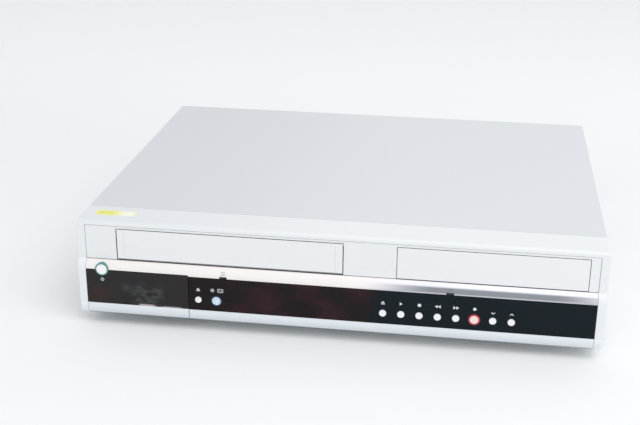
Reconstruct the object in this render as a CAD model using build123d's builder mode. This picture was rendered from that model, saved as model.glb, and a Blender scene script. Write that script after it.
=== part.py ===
"""A combined disc recorder and video cassette recorder for a television shelf.

Frame: +X to the right as seen from the front, -Y towards the viewer, +Z up.
The origin lies under the middle of the machine, on the surface that it stands on.
All sizes are in millimetres.
"""

import os
from math import cos, pi, radians, sin, sqrt, tan

from build123d import *

os.makedirs("parts", exist_ok=True)

# ---------------------------------------------------------------- overall sizes
width = 435.0  # across the cover
height = 93.0  # foot pads to the top of the cover
depth = 352.0  # lower trim to the ends of the rear sockets

# ---------------------------------------------------------------- front, seen from the side
band_proud = 4.2  # the control band in front of the fascia
trim_proud = 0.8  # the crest of the lower trim in front of the band
jack_reach = 6.2  # rear sockets behind the cover
lip_depth = 33.0  # top lip of the bezel, front to back
lip_round = 2.5
lip_face = 4.2  # the lip above the fascia
bezel_wall = 2.5
bezel_base = 9.0  # underside of the bezel above the shelf
trim_height = 10.3
strip_height = 8.7
fascia_height = 30.6
crest_drop = 3.5  # from the band down to the crest of the lower trim
frame_side = 6.5  # visible border of the bezel at each side
frame_round = 6.0  # its lower corners
edge_round = 1.8  # its outer upright edges
fascia_thick = 2.7
inset = 0.3  # fascia and doors behind the border
joint_gap = 0.3  # between the pieces that are let into the border
carrier_wall = 2.0
funnel_depth = 24.0  # the funnel that leads the cassette in
boss_side = 5.0
boss_inset = 2.7  # boss centres in from the board's edges

band_height = height - bezel_base - trim_height - strip_height - fascia_height - lip_face
fascia_y = -depth / 2 + trim_proud + band_proud
band_y = fascia_y - band_proud
front_y = band_y - trim_proud
rear_y = depth / 2 - jack_reach
seam_y = fascia_y + lip_depth
carrier_y = fascia_y + inset + fascia_thick
carrier_back = carrier_y + carrier_wall
band_base = bezel_base + trim_height
strip_base = band_base + band_height
fascia_base = strip_base + strip_height
fascia_top = fascia_base + fascia_height
inner_half = width / 2 - frame_side
inset_half = inner_half - joint_gap
hollow_half = width / 2 - bezel_wall

# ---------------------------------------------------------------- doors
cassette_width = 187.5
slot_side = 1.85  # beside the cassette
tray_slot_width = 153.2
left_share = 0.3428  # share of the blank fascia that is left of the cassette door
right_share = 0.1005  # share that is right of the tray
aperture_sill = 0.4  # the apertures above the foot of the fascia
aperture_height = 28.0
door_gap = 0.8
door_top_gap = 0.6
tray_gap = 0.5
door_thick = 2.0
door_pin_radius = 0.6
door_pin_drop = 0.9  # pin centre below the door's top edge
door_pin_length = 1.6
door_bore_length = 2.0
pin_clear = 0.05

slot_width = cassette_width + 2 * slot_side
slot_half = slot_width / 2
tray_slot_half = tray_slot_width / 2
blank_fascia = 2 * inner_half - slot_width - tray_slot_width
cassette_x = -inner_half + left_share * blank_fascia + slot_half
tray_x = inner_half - right_share * blank_fascia - tray_slot_half
aperture_base = fascia_base + aperture_sill
aperture_top = aperture_base + aperture_height
door_y = fascia_y + inset
door_back = door_y + door_thick
door_base = aperture_base + door_gap
door_top = aperture_top - door_top_gap
door_pin_y = door_y + door_thick / 2
door_pin_z = door_top - door_pin_drop

# ---------------------------------------------------------------- control band and flap
flap_width = 87.8
flap_seam = 0.6
flap_rise = 0.8  # the flap reaches this far over the strip
flap_corner = 1.6
panel_thick = 2.0
panel_return = 1.6  # wall round the back of the panel
flap_pin_radius = 1.2
flap_pin_length = 2.4
flap_pin_back = 0.7  # behind the fascia plane
flap_pin_rise = 3.4  # above the underside of the bezel
swing_clear = 6.0  # bezel floor cut back for the flap's lower edge
swing_rise = 5.0  # and up, above the pins

flap_left = -inset_half
flap_end = flap_left + flap_width
flap_right = flap_end + flap_seam / 2  # the seam between the flap and the display panel
panel_left = flap_right + flap_seam / 2
flap_top = strip_base + flap_rise
flap_pin_y = fascia_y + flap_pin_back
flap_pin_z = bezel_base + flap_pin_rise
panel_low = band_base + joint_gap / 2
panel_high = strip_base - joint_gap / 2
panel_back = band_y + panel_thick

# ---------------------------------------------------------------- buttons
row_count = 8
row_rise = 9.8  # height of the row above the foot of the band
row_reach = 170.4  # first button of the row, in from the right end
button_pitch = 14.87
record_place = 5  # the record button is the sixth of the row
small_cap = 2.9
eject_cap = 2.7
selector_cap = 3.6
record_cap = 3.4
power_cap = 4.5
selector_rim = 1.0
record_rim = 1.3
power_rim = 1.2
button_clear = 0.15
button_proud = 0.7
keeper_margin = 1.3  # keeper plate beyond the cap
keeper_thick = 1.0
keeper_clear = 0.1  # between the keeper and the panel or ring in front of it
stem_side = 2.4
switch_gap = 0.9
switch_height = 4.3
switch_side = 6.0
board_back = 9.0  # front board behind the fascia plane
board_thick = 1.6
board_drop = 4.3  # below the foot of the band
board_rise = 3.5  # above the foot of the strip
board_margin = 8.7  # in from the right end of the panel
power_board_drop = 5.9
power_board_rise = 5.4
power_board_reach = 11.7  # beyond the power button
eject_reach = 8.3  # from the flap's seam
selector_reach = 23.8
power_reach = 13.9  # from the flap's left end
power_rise = 1.4  # power button above the foot of the strip
ring_proud = 0.4
indicator_width = 6.4
indicator_height = 1.7
tube_side_gap = 10.8  # display tube to the selector button
tube_row_gap = 7.3  # display tube to the row of buttons
tube_gap = 3.0
tube_base_thick = 2.0

board_y = fascia_y + board_back
board_left = flap_right + 2.2
board_right = inset_half - board_margin
board_bottom = band_base - board_drop
board_top = strip_base + board_rise
button_row = band_base + row_rise
button_first = inset_half - row_reach
row_places = [button_first + button_pitch * i for i in range(row_count)]
eject_x = flap_right + eject_reach
selector_x = flap_right + selector_reach
power_x = flap_left + power_reach
power_z = strip_base + power_rise
power_rim_radius = power_cap + power_rim
selector_rim_radius = selector_cap + selector_rim
record_rim_radius = record_cap + record_rim
power_board_left = -inner_half - 1.0
power_board_right = power_x + power_board_reach
power_board_low = power_z - power_board_drop
power_board_top = power_z + power_board_rise
switch_front = board_y - switch_height
power_switch_front = carrier_back + keeper_clear + keeper_thick + switch_gap
indicator_places = (selector_x + 5.9, (row_places[3] + row_places[4]) / 2 + 2.0)
tube_left = selector_x + tube_side_gap
tube_right = button_first - tube_row_gap
board_bosses = [(x, z)
                for x in (board_left + boss_inset, board_right - boss_inset)
                for z in (board_bottom + boss_inset, board_top - boss_inset)]
power_bosses = [(x, power_board_top - boss_inset)
                for x in (power_board_left + boss_inset, power_board_right - boss_inset)]

# ---------------------------------------------------------------- sheet metal case
sheet = 0.8
cover_gap = 0.3
cover_bend = 1.6
cover_flange = 10.0
flange_play = 0.1
chassis_sheet = 1.0
chassis_base = 11.7
chassis_flange = 14.0
flange_start = 2.0  # side flanges behind the seam
chassis_set_back = 12.0  # front tongue behind the fascia plane
vent_count = 8
vent_pitch = 12.0
vent_width = 4.0
vent_height = 22.0
vent_back = 60.0  # middle of the vents in from the back
vent_drop = 26.3  # middle of the vents below the top
slot_count = 5
slot_pitch = 16.0
slot_wide = 5.0
slot_long = 60.0
slot_back = 190.0  # middle of the floor slots in from the back
rib_long = 150.0
rib_wide = 6.0
rib_rise = 1.2
rib_pitch = 34.0
rib_taper = 35
standoff_side = 6.0
louvre_count = 5
louvre_wide = 40.0
louvre_tall = 3.0
louvre_pitch = 7.0
louvre_x = -4.0

chassis_top = chassis_base + chassis_sheet
chassis_front = fascia_y + chassis_set_back
cover_y = seam_y + cover_gap
cover_inner = width / 2 - sheet
chassis_half = cover_inner - cover_gap
panel_out = rear_y - sheet - flange_play  # outer face of the rear panel
panel_in = panel_out - chassis_sheet
panel_top = height - sheet - cover_gap

# ---------------------------------------------------------------- feet
foot_side = 49.5  # foot centres in from the sides
foot_front = 56.0  # behind the fascia plane
foot_rear = 42.0  # in front of the rear
foot_long = 34.0
foot_wide = 22.0
foot_draft = 12
pad_long = 24.0
pad_wide = 14.0
pad_thick = 1.8
foot_places = [(x, y) for x in (-width / 2 + foot_side, width / 2 - foot_side)
               for y in (fascia_y + foot_front, rear_y - foot_rear)]

# ---------------------------------------------------------------- jack bay behind the flap
bay_margin_left = 25.7  # from the flap's left end
bay_margin_right = 3.4
bay_drop = 3.0  # below the foot of the strip
bay_sink = 0.3  # its floor below the foot of the band
bay_depth = 17.0
bay_wall = 1.6
bay_flange = 2.0
bay_play = 0.3
bay_foot = 5.2
jack_radius = 4.15
jack_length = 8.0
jack_pitch = 15.0

bay_left = flap_left + bay_margin_left
bay_right = flap_right - bay_margin_right
bay_top = strip_base - bay_drop
bay_floor = band_base - bay_sink
bay_back = carrier_y + bay_depth
jack_face = bay_back - bay_wall
bay_middle = (bay_left + bay_right) / 2
bay_centre_z = (bay_floor + bay_top) / 2
front_jack_places = [bay_middle + jack_pitch * (i - 1) for i in range(3)]

# ---------------------------------------------------------------- disc drive
tray_rise = 7.4  # underside of the tray above the aperture's sill
drive_drop = 12.0  # the frame's floor below the tray
drive_rise = 12.0  # its walls above the tray's underside
drive_half = 74.5
drive_wall = 2.0
drive_length = 204.0
drive_set_back = 5.3  # front of the frame behind the fascia plane
drive_leg_wide = 8.0
drive_leg_front = 16.0
drive_leg_back = 12.0
window_half = 50.0
window_front = 38.0
window_back = 8.0
ear_wide = 2.6
ear_half = 4.0
guide_length = 10.0
guide_places = (4.0, 34.0)
tray_thick = 8.0
tray_length = 190.0
tray_play = 0.3
tray_rim = 2.0
tray_edge = 8.0
tray_skin = 4.4
disc_back = 69.0  # disc centre behind the fascia plane
disc_recess = 60.7
disc_recess_depth = 1.8
small_recess = 40.7
small_recess_depth = 3.0
light_slot_half = 18.0
tray_rib = 4.0
rail_width = 1.7
rail_thick = 2.7
tooth_module = 1.5
gear_teeth = 12
rack_teeth = 35
tooth_backlash = 0.45
pressure_angle = radians(20)
dedendum = 1.25 * tooth_module
root_sink = 1.4 * tooth_module  # the teeth start this far inside the pitch circle
crest_taper = 0.85 * tooth_module
gear_thick = 7.0
gear_axle = 1.5
axle_clear = 0.05
gear_offset = 58.4  # gear centre right of the disc centre
gear_back = 21.0  # gear centre behind the fascia plane
gear_lift = 1.0
gear_shoulder = 3.0
rack_thick = 4.6
rack_web = 2.0
rack_sink = 3.0
mech_drop = 8.0  # the mechanism's base below the tray's underside
mech_half = 45.0
mech_thick = 2.0
mech_pin_radius = 1.5
mech_pin_rise = 1.0
mech_pin_length = 7.0
mech_hinge_back = 110.0  # hinge behind the spindle
mech_front_reach = 34.0
mech_end = 4.0
motor_radius = 12.5
motor_half = 4.0
turntable_radius = 14.0
turntable_rise = 7.7  # above the tray's underside
turntable_thick = 1.5
cone_radius = 7.4
cone_slope = 1.6
cone_height = 1.8
spindle_radius = 1.0
rod_radius = 1.5
rod_half = 15.0
rod_rise = 3.8  # rod centres above the mechanism's base
rod_block = 6.0
rod_block_long = 3.0
rod_end = 90.0
sled_half = 20.0
sled_length = 24.0
sled_clear = 4.0
sled_low = 2.6
sled_high = 3.2
lens_base_half = 6.0
lens_radius = 3.4
lens_rise = 5.5  # above the tray's underside
lens_thick = 2.0
lens_back = 9.0
bridge_half = 30.0
bridge_thick = 1.5
puck_radius = 12.0
puck_drop = 3.6
puck_tab_reach = 17.0
puck_tab_wide = 6.0
puck_tab_thick = 1.2
puck_clear = 0.3
puck_hole_clear = 1.0

tray_bottom = aperture_base + tray_rise
tray_top = tray_bottom + tray_thick
tray_front = door_back
tray_rear = tray_front + tray_length
drive_base = tray_bottom - drive_drop
drive_floor = drive_base + drive_wall
drive_wall_top = tray_bottom + drive_rise
drive_front = fascia_y + drive_set_back
drive_rear = drive_front + drive_length
drive_inner = drive_half - drive_wall
tray_half = drive_inner - tray_play
disc_y = fascia_y + disc_back
mech_base = tray_bottom - mech_drop
mech_top = mech_base + mech_thick
mech_hinge_y = disc_y + mech_hinge_back
mech_hinge_z = mech_base + mech_pin_rise
gear_x = tray_x + gear_offset
gear_y = fascia_y + gear_back
gear_pitch_radius = tooth_module * gear_teeth / 2
gear_base = drive_floor + gear_lift
tooth_pitch = pi * tooth_module
rack_line = gear_x - gear_pitch_radius
rack_back = rack_line - dedendum
rack_start = gear_y - 3 * tooth_pitch
rack_end = rack_start + rack_teeth * tooth_pitch
turntable_top = tray_bottom + turntable_rise
lens_top = tray_bottom + lens_rise
rod_z = mech_base + rod_rise
rod_front = disc_y + motor_radius + 1.0
sled_front = rod_front + sled_clear
puck_base = drive_wall_top + bridge_thick + puck_clear

# ---------------------------------------------------------------- video deck
deck_base = 28.0
deck_sheet = 2.0
deck_reach_left = 111.2
deck_reach_right = 112.8
deck_set_back = 46.0  # behind the fascia plane
deck_margin = 7.0  # behind the drum
deck_leg_long = 14.0
deck_leg_inset = 6.0
window_side = 20.0
window_before = 40.0
window_behind = 30.0
holder_set_back = 33.0
holder_play = 0.75
holder_sheet = 1.0
holder_rise = 0.4
holder_inside = 26.0
holder_length = 105.0
holder_lip = 12.0
holder_slide = 65.0
holder_stop = 2.0  # the lowered holder above the deck
holder_window_half = 60.0
holder_window_front = 24.0
holder_window_back = 20.0
shoe_half = 1.5
holder_shoe_rise = 19.0
carriage_gap = 0.5
carriage_thick = 1.2
carriage_set_back = 20.0  # behind the front of the holder
carriage_length = 66.0
carriage_drop = 13.0  # below the holder
carriage_headroom = 3.5
carriage_shoe_drop = 3.5
cross_bar_half = 3.0
cross_bar_thick = 1.6
shoe_inset = 8.0
shoe_clear = 0.35
shoe_end_gap = 0.2
bracket_thick = 1.2
bracket_headroom = 2.4
bracket_foot = 7.0
bracket_margin = 4.0
reel_pitch = 92.0
reel_back = 144.0  # behind the fascia plane
reel_radius = 17.0
reel_notch = 1.2
reel_teeth = 24
reel_disc = 2.0
reel_clear = 0.3
reel_hub = 4.0
reel_height = 14.5
reel_shaft = 2.0
reel_fin_reach = 5.6
reel_fin_thick = 1.0
reel_fin_low = 5.0
reel_fin_high = 12.0
shaft_drop = 0.2
drum_radius = 31.0
drum_back = 238.0
drum_tilt = 5.6
drum_rise = 6.0
drum_lower = 12.0
drum_upper = 12.0
drum_gap = 0.5
drum_shaft = 3.0
drum_bore = 8.0
drum_pedestal = 20.0
capstan_offset = 58.8  # right of the cassette's middle
capstan_back = 213.0
capstan_radius = 1.5
capstan_height = 26.0
flywheel_radius = 26.0
flywheel_thick = 8.0
flywheel_base = 16.0
pinch_offset = 86.8
pinch_back = 223.0
pinch_arm_length = 24.0
pinch_arm_wide = 7.0
pinch_arm_thick = 2.0
pinch_rest_angle = 161.7
pinch_radius = 5.5
pinch_roller = 6.0
pinch_rise = 14.0  # arm above the deck
pinch_post = 4.0

deck_top = deck_base + deck_sheet
deck_left = cassette_x - deck_reach_left
deck_right = cassette_x + deck_reach_right
deck_front = fascia_y + deck_set_back
drum_y = fascia_y + drum_back
deck_rear = drum_y + drum_radius + deck_margin
reel_y = fascia_y + reel_back
capstan_x = cassette_x + capstan_offset
capstan_y = fascia_y + capstan_back
pinch_x = cassette_x + pinch_offset
pinch_y = fascia_y + pinch_back
pinch_base = deck_top + pinch_rise
holder_front = fascia_y + holder_set_back
holder_rear = holder_front + holder_length
holder_half = cassette_width / 2 + holder_play
holder_base = aperture_base + holder_rise
holder_top = holder_base + holder_inside
holder_outer = holder_half + holder_sheet
holder_drop = holder_base - deck_top - holder_stop
holder_shoe_z = holder_base + holder_shoe_rise
carriage_inner = holder_outer + carriage_gap
carriage_outer = carriage_inner + carriage_thick
carriage_y = holder_front + carriage_set_back
carriage_rear = carriage_y + carriage_length
carriage_base = holder_base - carriage_drop
carriage_top = height - carriage_headroom
carriage_shoe_z = carriage_top - carriage_shoe_drop
shoe_places = (carriage_y + shoe_inset, carriage_rear - shoe_inset)
shoe_slot = shoe_half + shoe_clear
bracket_inner = carriage_outer + carriage_gap
bracket_outer = bracket_inner + bracket_thick
bracket_top = height - bracket_headroom
bracket_rear = carriage_rear + holder_slide + bracket_margin
reel_low = deck_top + reel_clear
drum_plane = Plane(origin=(cassette_x, drum_y, deck_top + drum_rise), x_dir=(1, 0, 0),
                   z_dir=(0, -sin(radians(drum_tilt)), cos(radians(drum_tilt))))

# ---------------------------------------------------------------- boards and sockets
main_board_base = 20.0
main_gap = 6.0  # right of the deck
main_margin = 11.5  # in from the side
main_set_back = 30.0  # behind the fascia plane
main_clear = 20.9  # in front of the rear panel
post_inset = 6.0
chip_height = 3.0
chip_side = 34.0
sink_long = 40.0
sink_wide = 12.0
sink_height = 12.0
cap_radius = 5.0
cap_height = 12.0
power_wide = 166.0
power_clear = 6.9  # power board in front of the rear panel
power_gap = 3.0  # behind the deck
power_part_gap = 5.0
transformer_left = 102.0  # from the power board's left edge
transformer_wide = 34.0
transformer_height = 28.0
power_sink_left = 146.0
power_sink_thick = 5.0
power_sink_height = 36.0
reservoir_left = 78.0
reservoir_height = 34.0
reservoir_share = 0.22  # of the board's depth
inlet_reach = 30.0  # from the power board's left edge
inlet_z = 36.0
inlet_width = 23.0
inlet_height = 14.0
inlet_flange = 2.5
inlet_flange_thick = 1.6
inlet_slot_wide = 14.6
inlet_slot_tall = 7.6
inlet_play = 0.15
inlet_foot = 8.0
blade_half = 1.0
blade_offset = 4.3
socket_housing = 12.0  # depth of the socket housings behind the rear panel
socket_pitch = 14.0
socket_offset = 14.0  # from the main board's left edge
socket_low = 30.0
socket_columns = 3
socket_rows = 2
socket_play = 0.15
aerial_radius = 4.7
aerial_offset = 74.0  # from the main board's right edge
aerial_low = 30.0
aerial_pitch = 22.0
tuner_half = 12.0
tuner_depth = 34.0

board_face = main_board_base + board_thick
main_left = deck_right + main_gap
main_right = width / 2 - main_margin
main_front = fascia_y + main_set_back
main_rear = panel_in - main_clear
power_left = -width / 2 + main_margin
power_right = power_left + power_wide
power_front = deck_rear + power_gap
power_rear = panel_in - power_clear
power_depth = power_rear - power_front
inlet_x = power_left + inlet_reach
aerial_x = main_right - aerial_offset
socket_left = main_left + socket_offset
main_posts = [(x, y) for x in (main_left + post_inset, main_right - post_inset)
              for y in (main_front + post_inset, main_rear - post_inset)]
power_posts = [(x, y) for x in (power_left + post_inset, power_right - post_inset)
               for y in (power_front + post_inset, power_rear - post_inset)]
socket_places = [(socket_left + socket_pitch * i, socket_low + socket_pitch * j)
                 for i in range(socket_columns) for j in range(socket_rows)]
aerial_places = [(aerial_x, aerial_low), (aerial_x, aerial_low + aerial_pitch)]
socket_block = (socket_left - socket_pitch / 2, socket_left + socket_pitch * (socket_columns - 0.5),
                board_face, socket_low + socket_pitch * (socket_rows - 0.5))
tuner_block = (aerial_x - tuner_half, aerial_x + tuner_half, board_face, aerial_low + aerial_pitch + tuner_half)


def box(x0, x1, y0, y1, z0, z1, mode=Mode.ADD):
    """Add, cut or keep the block between two corners."""
    with Locations(((x0 + x1) / 2, (y0 + y1) / 2, (z0 + z1) / 2)):
        Box(x1 - x0, y1 - y0, z1 - z0, mode=mode)


def bar_y(x, z, y0, y1, radius, mode=Mode.ADD):
    """A round bar along Y between two depths."""
    with Locations((x, (y0 + y1) / 2, z)):
        Cylinder(radius, y1 - y0, rotation=(90, 0, 0), mode=mode)


def bar_x(y, z, x0, x1, radius, mode=Mode.ADD):
    """A round bar along X between two places."""
    with Locations(((x0 + x1) / 2, y, z)):
        Cylinder(radius, x1 - x0, rotation=(0, 90, 0), mode=mode)


def post(x, y, z0, z1, radius, mode=Mode.ADD):
    """An upright round post between two heights."""
    with Locations((x, y, (z0 + z1) / 2)):
        Cylinder(radius, z1 - z0, mode=mode)


def revolved(x, y, outline):
    """A turned piece about an upright axis, from its half outline of radii and heights."""
    with BuildSketch(Plane.XZ.offset(-y), mode=Mode.PRIVATE) as half:
        with BuildLine():
            Polyline(*[(x + r, z) for r, z in outline], close=True)
        make_face()
    return revolve(half.sketch, axis=Axis((x, y, 0), (0, 0, 1)), mode=Mode.PRIVATE)


def mirrored(middle, side, inner, outer):
    """The two ends, in order, of a stretch at one side of a middle."""
    return sorted((middle + side * inner, middle + side * outer))


def keep(piece, label):
    """Name a finished piece and write it."""
    piece.label = label
    export_step(piece, f"parts/{label}.step")


# The crest of the lower trim is an arc that leaves the band at its foot.
crest_radius = (trim_proud**2 + crest_drop**2) / (2 * trim_proud)
crest_z = band_base - crest_drop
crest_y = front_y + crest_radius
trim_foot_y = crest_y - sqrt(crest_radius**2 - (crest_z - bezel_base) ** 2)


def strip_curve():
    """The sloping strip, from the band up and back to the fascia."""
    TangentArc((band_y, strip_base), (fascia_y, fascia_base), tangent=(0, 1))


def trim_curve():
    """The rounded lower trim, from the band down to the underside."""
    ThreePointArc((band_y, band_base), (front_y, crest_z), (trim_foot_y, bezel_base))


# ================================================================ front bezel
with BuildPart() as front_bezel:
    with BuildSketch(Plane.YZ.offset(-width / 2)):
        with BuildLine():
            Polyline(
                (trim_foot_y, bezel_base),
                (seam_y, bezel_base),
                (seam_y, height),
                (fascia_y + lip_round, height),
            )
            RadiusArc((fascia_y + lip_round, height), (fascia_y, height - lip_round), -lip_round)
            Line((fascia_y, height - lip_round), (fascia_y, fascia_base))
            strip_curve()
            Line((band_y, strip_base), (band_y, band_base))
            trim_curve()
        make_face()
    extrude(amount=width)
    # rounded lower corners and eased upper corners, as seen from the front
    with BuildSketch(Plane.XZ.offset(-seam_y)) as outline:
        with Locations((0, (bezel_base + height) / 2)):
            Rectangle(width, height - bezel_base)
        fillet(outline.vertices().group_by(Axis.Y)[0], frame_round)
        fillet(outline.vertices().group_by(Axis.Y)[-1], cover_bend)
    extrude(amount=seam_y - front_y, mode=Mode.INTERSECT)
    with BuildSketch(Plane.XY.offset(bezel_base)) as plan:
        with Locations((0, (front_y + seam_y) / 2)):
            Rectangle(width, seam_y - front_y)
        fillet(plan.vertices().group_by(Axis.Y)[0], edge_round)
    extrude(amount=height - bezel_base, mode=Mode.INTERSECT)
    # the hollow behind the front wall
    box(-hollow_half, hollow_half, carrier_back, seam_y, bezel_base + bezel_wall, height - bezel_wall, Mode.SUBTRACT)
    # the recess that the fascia, strips and display panel are let into
    box(-inner_half, inner_half, front_y, carrier_y, bezel_base, fascia_top, Mode.SUBTRACT)
    # windows in the carrier wall: cassette, tray, display and buttons, jack bay
    box(cassette_x - slot_half, cassette_x + slot_half, carrier_y, carrier_back,
        aperture_base, aperture_top + door_thick / 2, Mode.SUBTRACT)
    box(tray_x - tray_slot_half, tray_x + tray_slot_half, carrier_y, carrier_back,
        aperture_base, aperture_top, Mode.SUBTRACT)
    box(panel_left + 2 * panel_return, inset_half - 2 * panel_return, carrier_y, carrier_back,
        panel_low + panel_return, panel_high - panel_return, Mode.SUBTRACT)
    box(bay_left, bay_right, carrier_y, carrier_back, bezel_base, bay_top, Mode.SUBTRACT)
    box(-inner_half, flap_end, front_y, fascia_y + swing_clear,
        bezel_base, flap_pin_z + swing_rise, Mode.SUBTRACT)
    bar_y(power_x, power_z, carrier_y, carrier_back, power_cap + button_clear, Mode.SUBTRACT)
    # the funnel that leads the cassette in
    funnel_back = carrier_back + funnel_depth
    funnel_half = slot_half + carrier_wall
    box(cassette_x - funnel_half, cassette_x + funnel_half, carrier_back, funnel_back,
        aperture_base - carrier_wall, aperture_base)
    for side in (-1, 1):
        near, far = mirrored(cassette_x, side, slot_half, funnel_half)
        box(near, far, carrier_back, funnel_back, aperture_base, height - bezel_wall)
    # bosses that the boards behind the front are screwed to
    for x, z in board_bosses + power_bosses:
        box(x - boss_side / 2, x + boss_side / 2, carrier_back, board_y, z - boss_side / 2, z + boss_side / 2)
    # the bore for the flap's left hinge pin, in the border
    bar_x(flap_pin_y, flap_pin_z, -inner_half - flap_pin_length, -inner_half,
          flap_pin_radius + pin_clear, Mode.SUBTRACT)
keep(front_bezel.part, "front_bezel")

# ================================================================ upper fascia
with BuildPart() as upper_fascia:
    box(-inset_half, inset_half, door_y, carrier_y, fascia_base + joint_gap / 2, fascia_top - joint_gap)
    for middle, half in ((cassette_x, slot_half), (tray_x, tray_slot_half)):
        box(middle - half, middle + half, door_y, carrier_y, aperture_base, aperture_top, Mode.SUBTRACT)
    # pin bores at the top corners of the cassette aperture
    for side in (-1, 1):
        near, far = mirrored(cassette_x, side, slot_half, slot_half + door_bore_length)
        bar_x(door_pin_y, door_pin_z, near, far, door_pin_radius + pin_clear, Mode.SUBTRACT)
keep(upper_fascia.part, "upper_fascia")

# ================================================================ bright strip over the band
with BuildPart() as accent_strip:
    with BuildSketch(Plane.YZ.offset(-inset_half)):
        with BuildLine():
            strip_curve()
            Polyline(
                (fascia_y, fascia_base),
                (carrier_y, fascia_base),
                (carrier_y, strip_base),
                (band_y, strip_base),
            )
        make_face()
    extrude(amount=2 * inset_half)
    box(-inset_half, flap_right, front_y, carrier_y, strip_base, flap_top + joint_gap, Mode.SUBTRACT)
    bar_y(power_x, power_z, front_y, carrier_y, power_rim_radius, Mode.SUBTRACT)
    for x in indicator_places:
        box(x - indicator_width / 2, x + indicator_width / 2, front_y, carrier_y,
            strip_base, strip_base + indicator_height, Mode.SUBTRACT)
keep(accent_strip.part, "accent_strip")

with BuildPart() as indicator_lenses:
    for x in indicator_places:
        box(x - indicator_width / 2, x + indicator_width / 2, band_y + joint_gap, carrier_y,
            strip_base, strip_base + indicator_height)
keep(indicator_lenses.part, "indicator_lenses")

# ================================================================ display panel
with BuildPart() as display_panel:
    box(panel_left, inset_half, band_y, carrier_y, panel_low, panel_high)
    box(panel_left + panel_return, inset_half - panel_return, panel_back, carrier_y,
        panel_low + panel_return, panel_high - panel_return, Mode.SUBTRACT)
    for i, x in enumerate(row_places):
        hole = record_rim_radius if i == record_place else small_cap + button_clear
        bar_y(x, button_row, band_y, panel_back, hole, Mode.SUBTRACT)
    bar_y(eject_x, button_row, band_y, panel_back, eject_cap + button_clear, Mode.SUBTRACT)
    bar_y(selector_x, button_row, band_y, panel_back, selector_rim_radius, Mode.SUBTRACT)
keep(display_panel.part, "display_panel")

# ================================================================ lower trim
with BuildPart() as lower_trim:
    with BuildSketch(Plane.YZ.offset(panel_left)):
        with BuildLine():
            trim_curve()
            Polyline(
                (trim_foot_y, bezel_base),
                (carrier_y, bezel_base),
                (carrier_y, band_base),
                (band_y, band_base),
            )
        make_face()
    extrude(amount=inset_half - panel_left)
    bar_x(flap_pin_y, flap_pin_z, panel_left, panel_left + flap_pin_length,
          flap_pin_radius + pin_clear, Mode.SUBTRACT)
keep(lower_trim.part, "lower_trim")

# ================================================================ rings round three of the buttons
for label, x, z, cap, rim_radius, ring_back in (
    ("power_ring", power_x, power_z, power_cap, power_rim_radius, carrier_y),
    ("selector_ring", selector_x, button_row, selector_cap, selector_rim_radius, panel_back),
    ("record_ring", row_places[record_place], button_row, record_cap, record_rim_radius, panel_back),
):
    with BuildPart() as ring:
        bar_y(x, z, band_y - ring_proud, ring_back, rim_radius)
        bar_y(x, z, band_y - ring_proud, ring_back, cap + button_clear, Mode.SUBTRACT)
    keep(ring.part, label)

# ================================================================ buttons
row_names = ("open_button", "play_button", "stop_button", "rewind_button",
             "forward_button", "record_button", "channel_down_button", "channel_up_button")
buttons = [(name, x, button_row, small_cap, panel_back) for name, x in zip(row_names, row_places)]
buttons[record_place] = ("record_button", row_places[record_place], button_row, record_cap, panel_back)
buttons.append(("eject_button", eject_x, button_row, eject_cap, panel_back))
buttons.append(("selector_button", selector_x, button_row, selector_cap, panel_back))
buttons.append(("power_button", power_x, power_z, power_cap, carrier_back))
for label, x, z, cap, behind in buttons:
    keeper_front = behind + keeper_clear
    keeper_back = keeper_front + keeper_thick
    keeper_half = cap + keeper_margin
    stem_end = switch_front - switch_gap
    with BuildPart() as button:
        bar_y(x, z, band_y - button_proud, keeper_front, cap)
        box(x - keeper_half, x + keeper_half, keeper_front, keeper_back, z - keeper_half, z + keeper_half)
        if stem_end > keeper_back:
            box(x - stem_side / 2, x + stem_side / 2, keeper_back, stem_end,
                z - stem_side / 2, z + stem_side / 2)
    keep(button.part, label)

# ================================================================ cassette door
with BuildPart() as cassette_door:
    door_half = slot_half - door_gap
    box(cassette_x - door_half, cassette_x + door_half, door_y, door_back, door_base, door_top)
    back_top = cassette_door.edges().filter_by(Axis.X).group_by(Axis.Z)[-1].sort_by(Axis.Y)[-1]
    fillet(back_top, door_pin_drop)
    for side in (-1, 1):
        near, far = mirrored(cassette_x, side, door_half, slot_half + door_pin_length)
        bar_x(door_pin_y, door_pin_z, near, far, door_pin_radius)
keep(cassette_door.part, "cassette_door")

# ================================================================ jack flap
with BuildPart() as flap_panel:
    box(flap_left, flap_end, band_y, carrier_y - joint_gap, panel_low, flap_top)
    fillet(flap_panel.edges().filter_by(Axis.Y).group_by(Axis.Z)[-1], flap_corner)
    box(flap_left + panel_return, flap_end - panel_return, panel_back, carrier_y - joint_gap,
        panel_low, flap_top - panel_return, Mode.SUBTRACT)
    bar_y(power_x, power_z, front_y, carrier_y, power_rim_radius + flap_seam, Mode.SUBTRACT)
keep(flap_panel.part, "flap_panel")

with BuildPart() as flap_trim:
    with BuildSketch(Plane.YZ.offset(flap_left)):
        with BuildLine():
            trim_curve()
            Polyline(
                (trim_foot_y, bezel_base),
                (carrier_y - joint_gap, bezel_base),
                (carrier_y - joint_gap, panel_low),
                (band_y, panel_low),
                (band_y, band_base),
            )
        make_face()
    extrude(amount=flap_end - flap_left)
    pin_reach = flap_pin_length - joint_gap
    bar_x(flap_pin_y, flap_pin_z, flap_left - pin_reach, flap_left, flap_pin_radius)
    bar_x(flap_pin_y, flap_pin_z, flap_end, flap_end + pin_reach, flap_pin_radius)
keep(flap_trim.part, "flap_trim")

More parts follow.
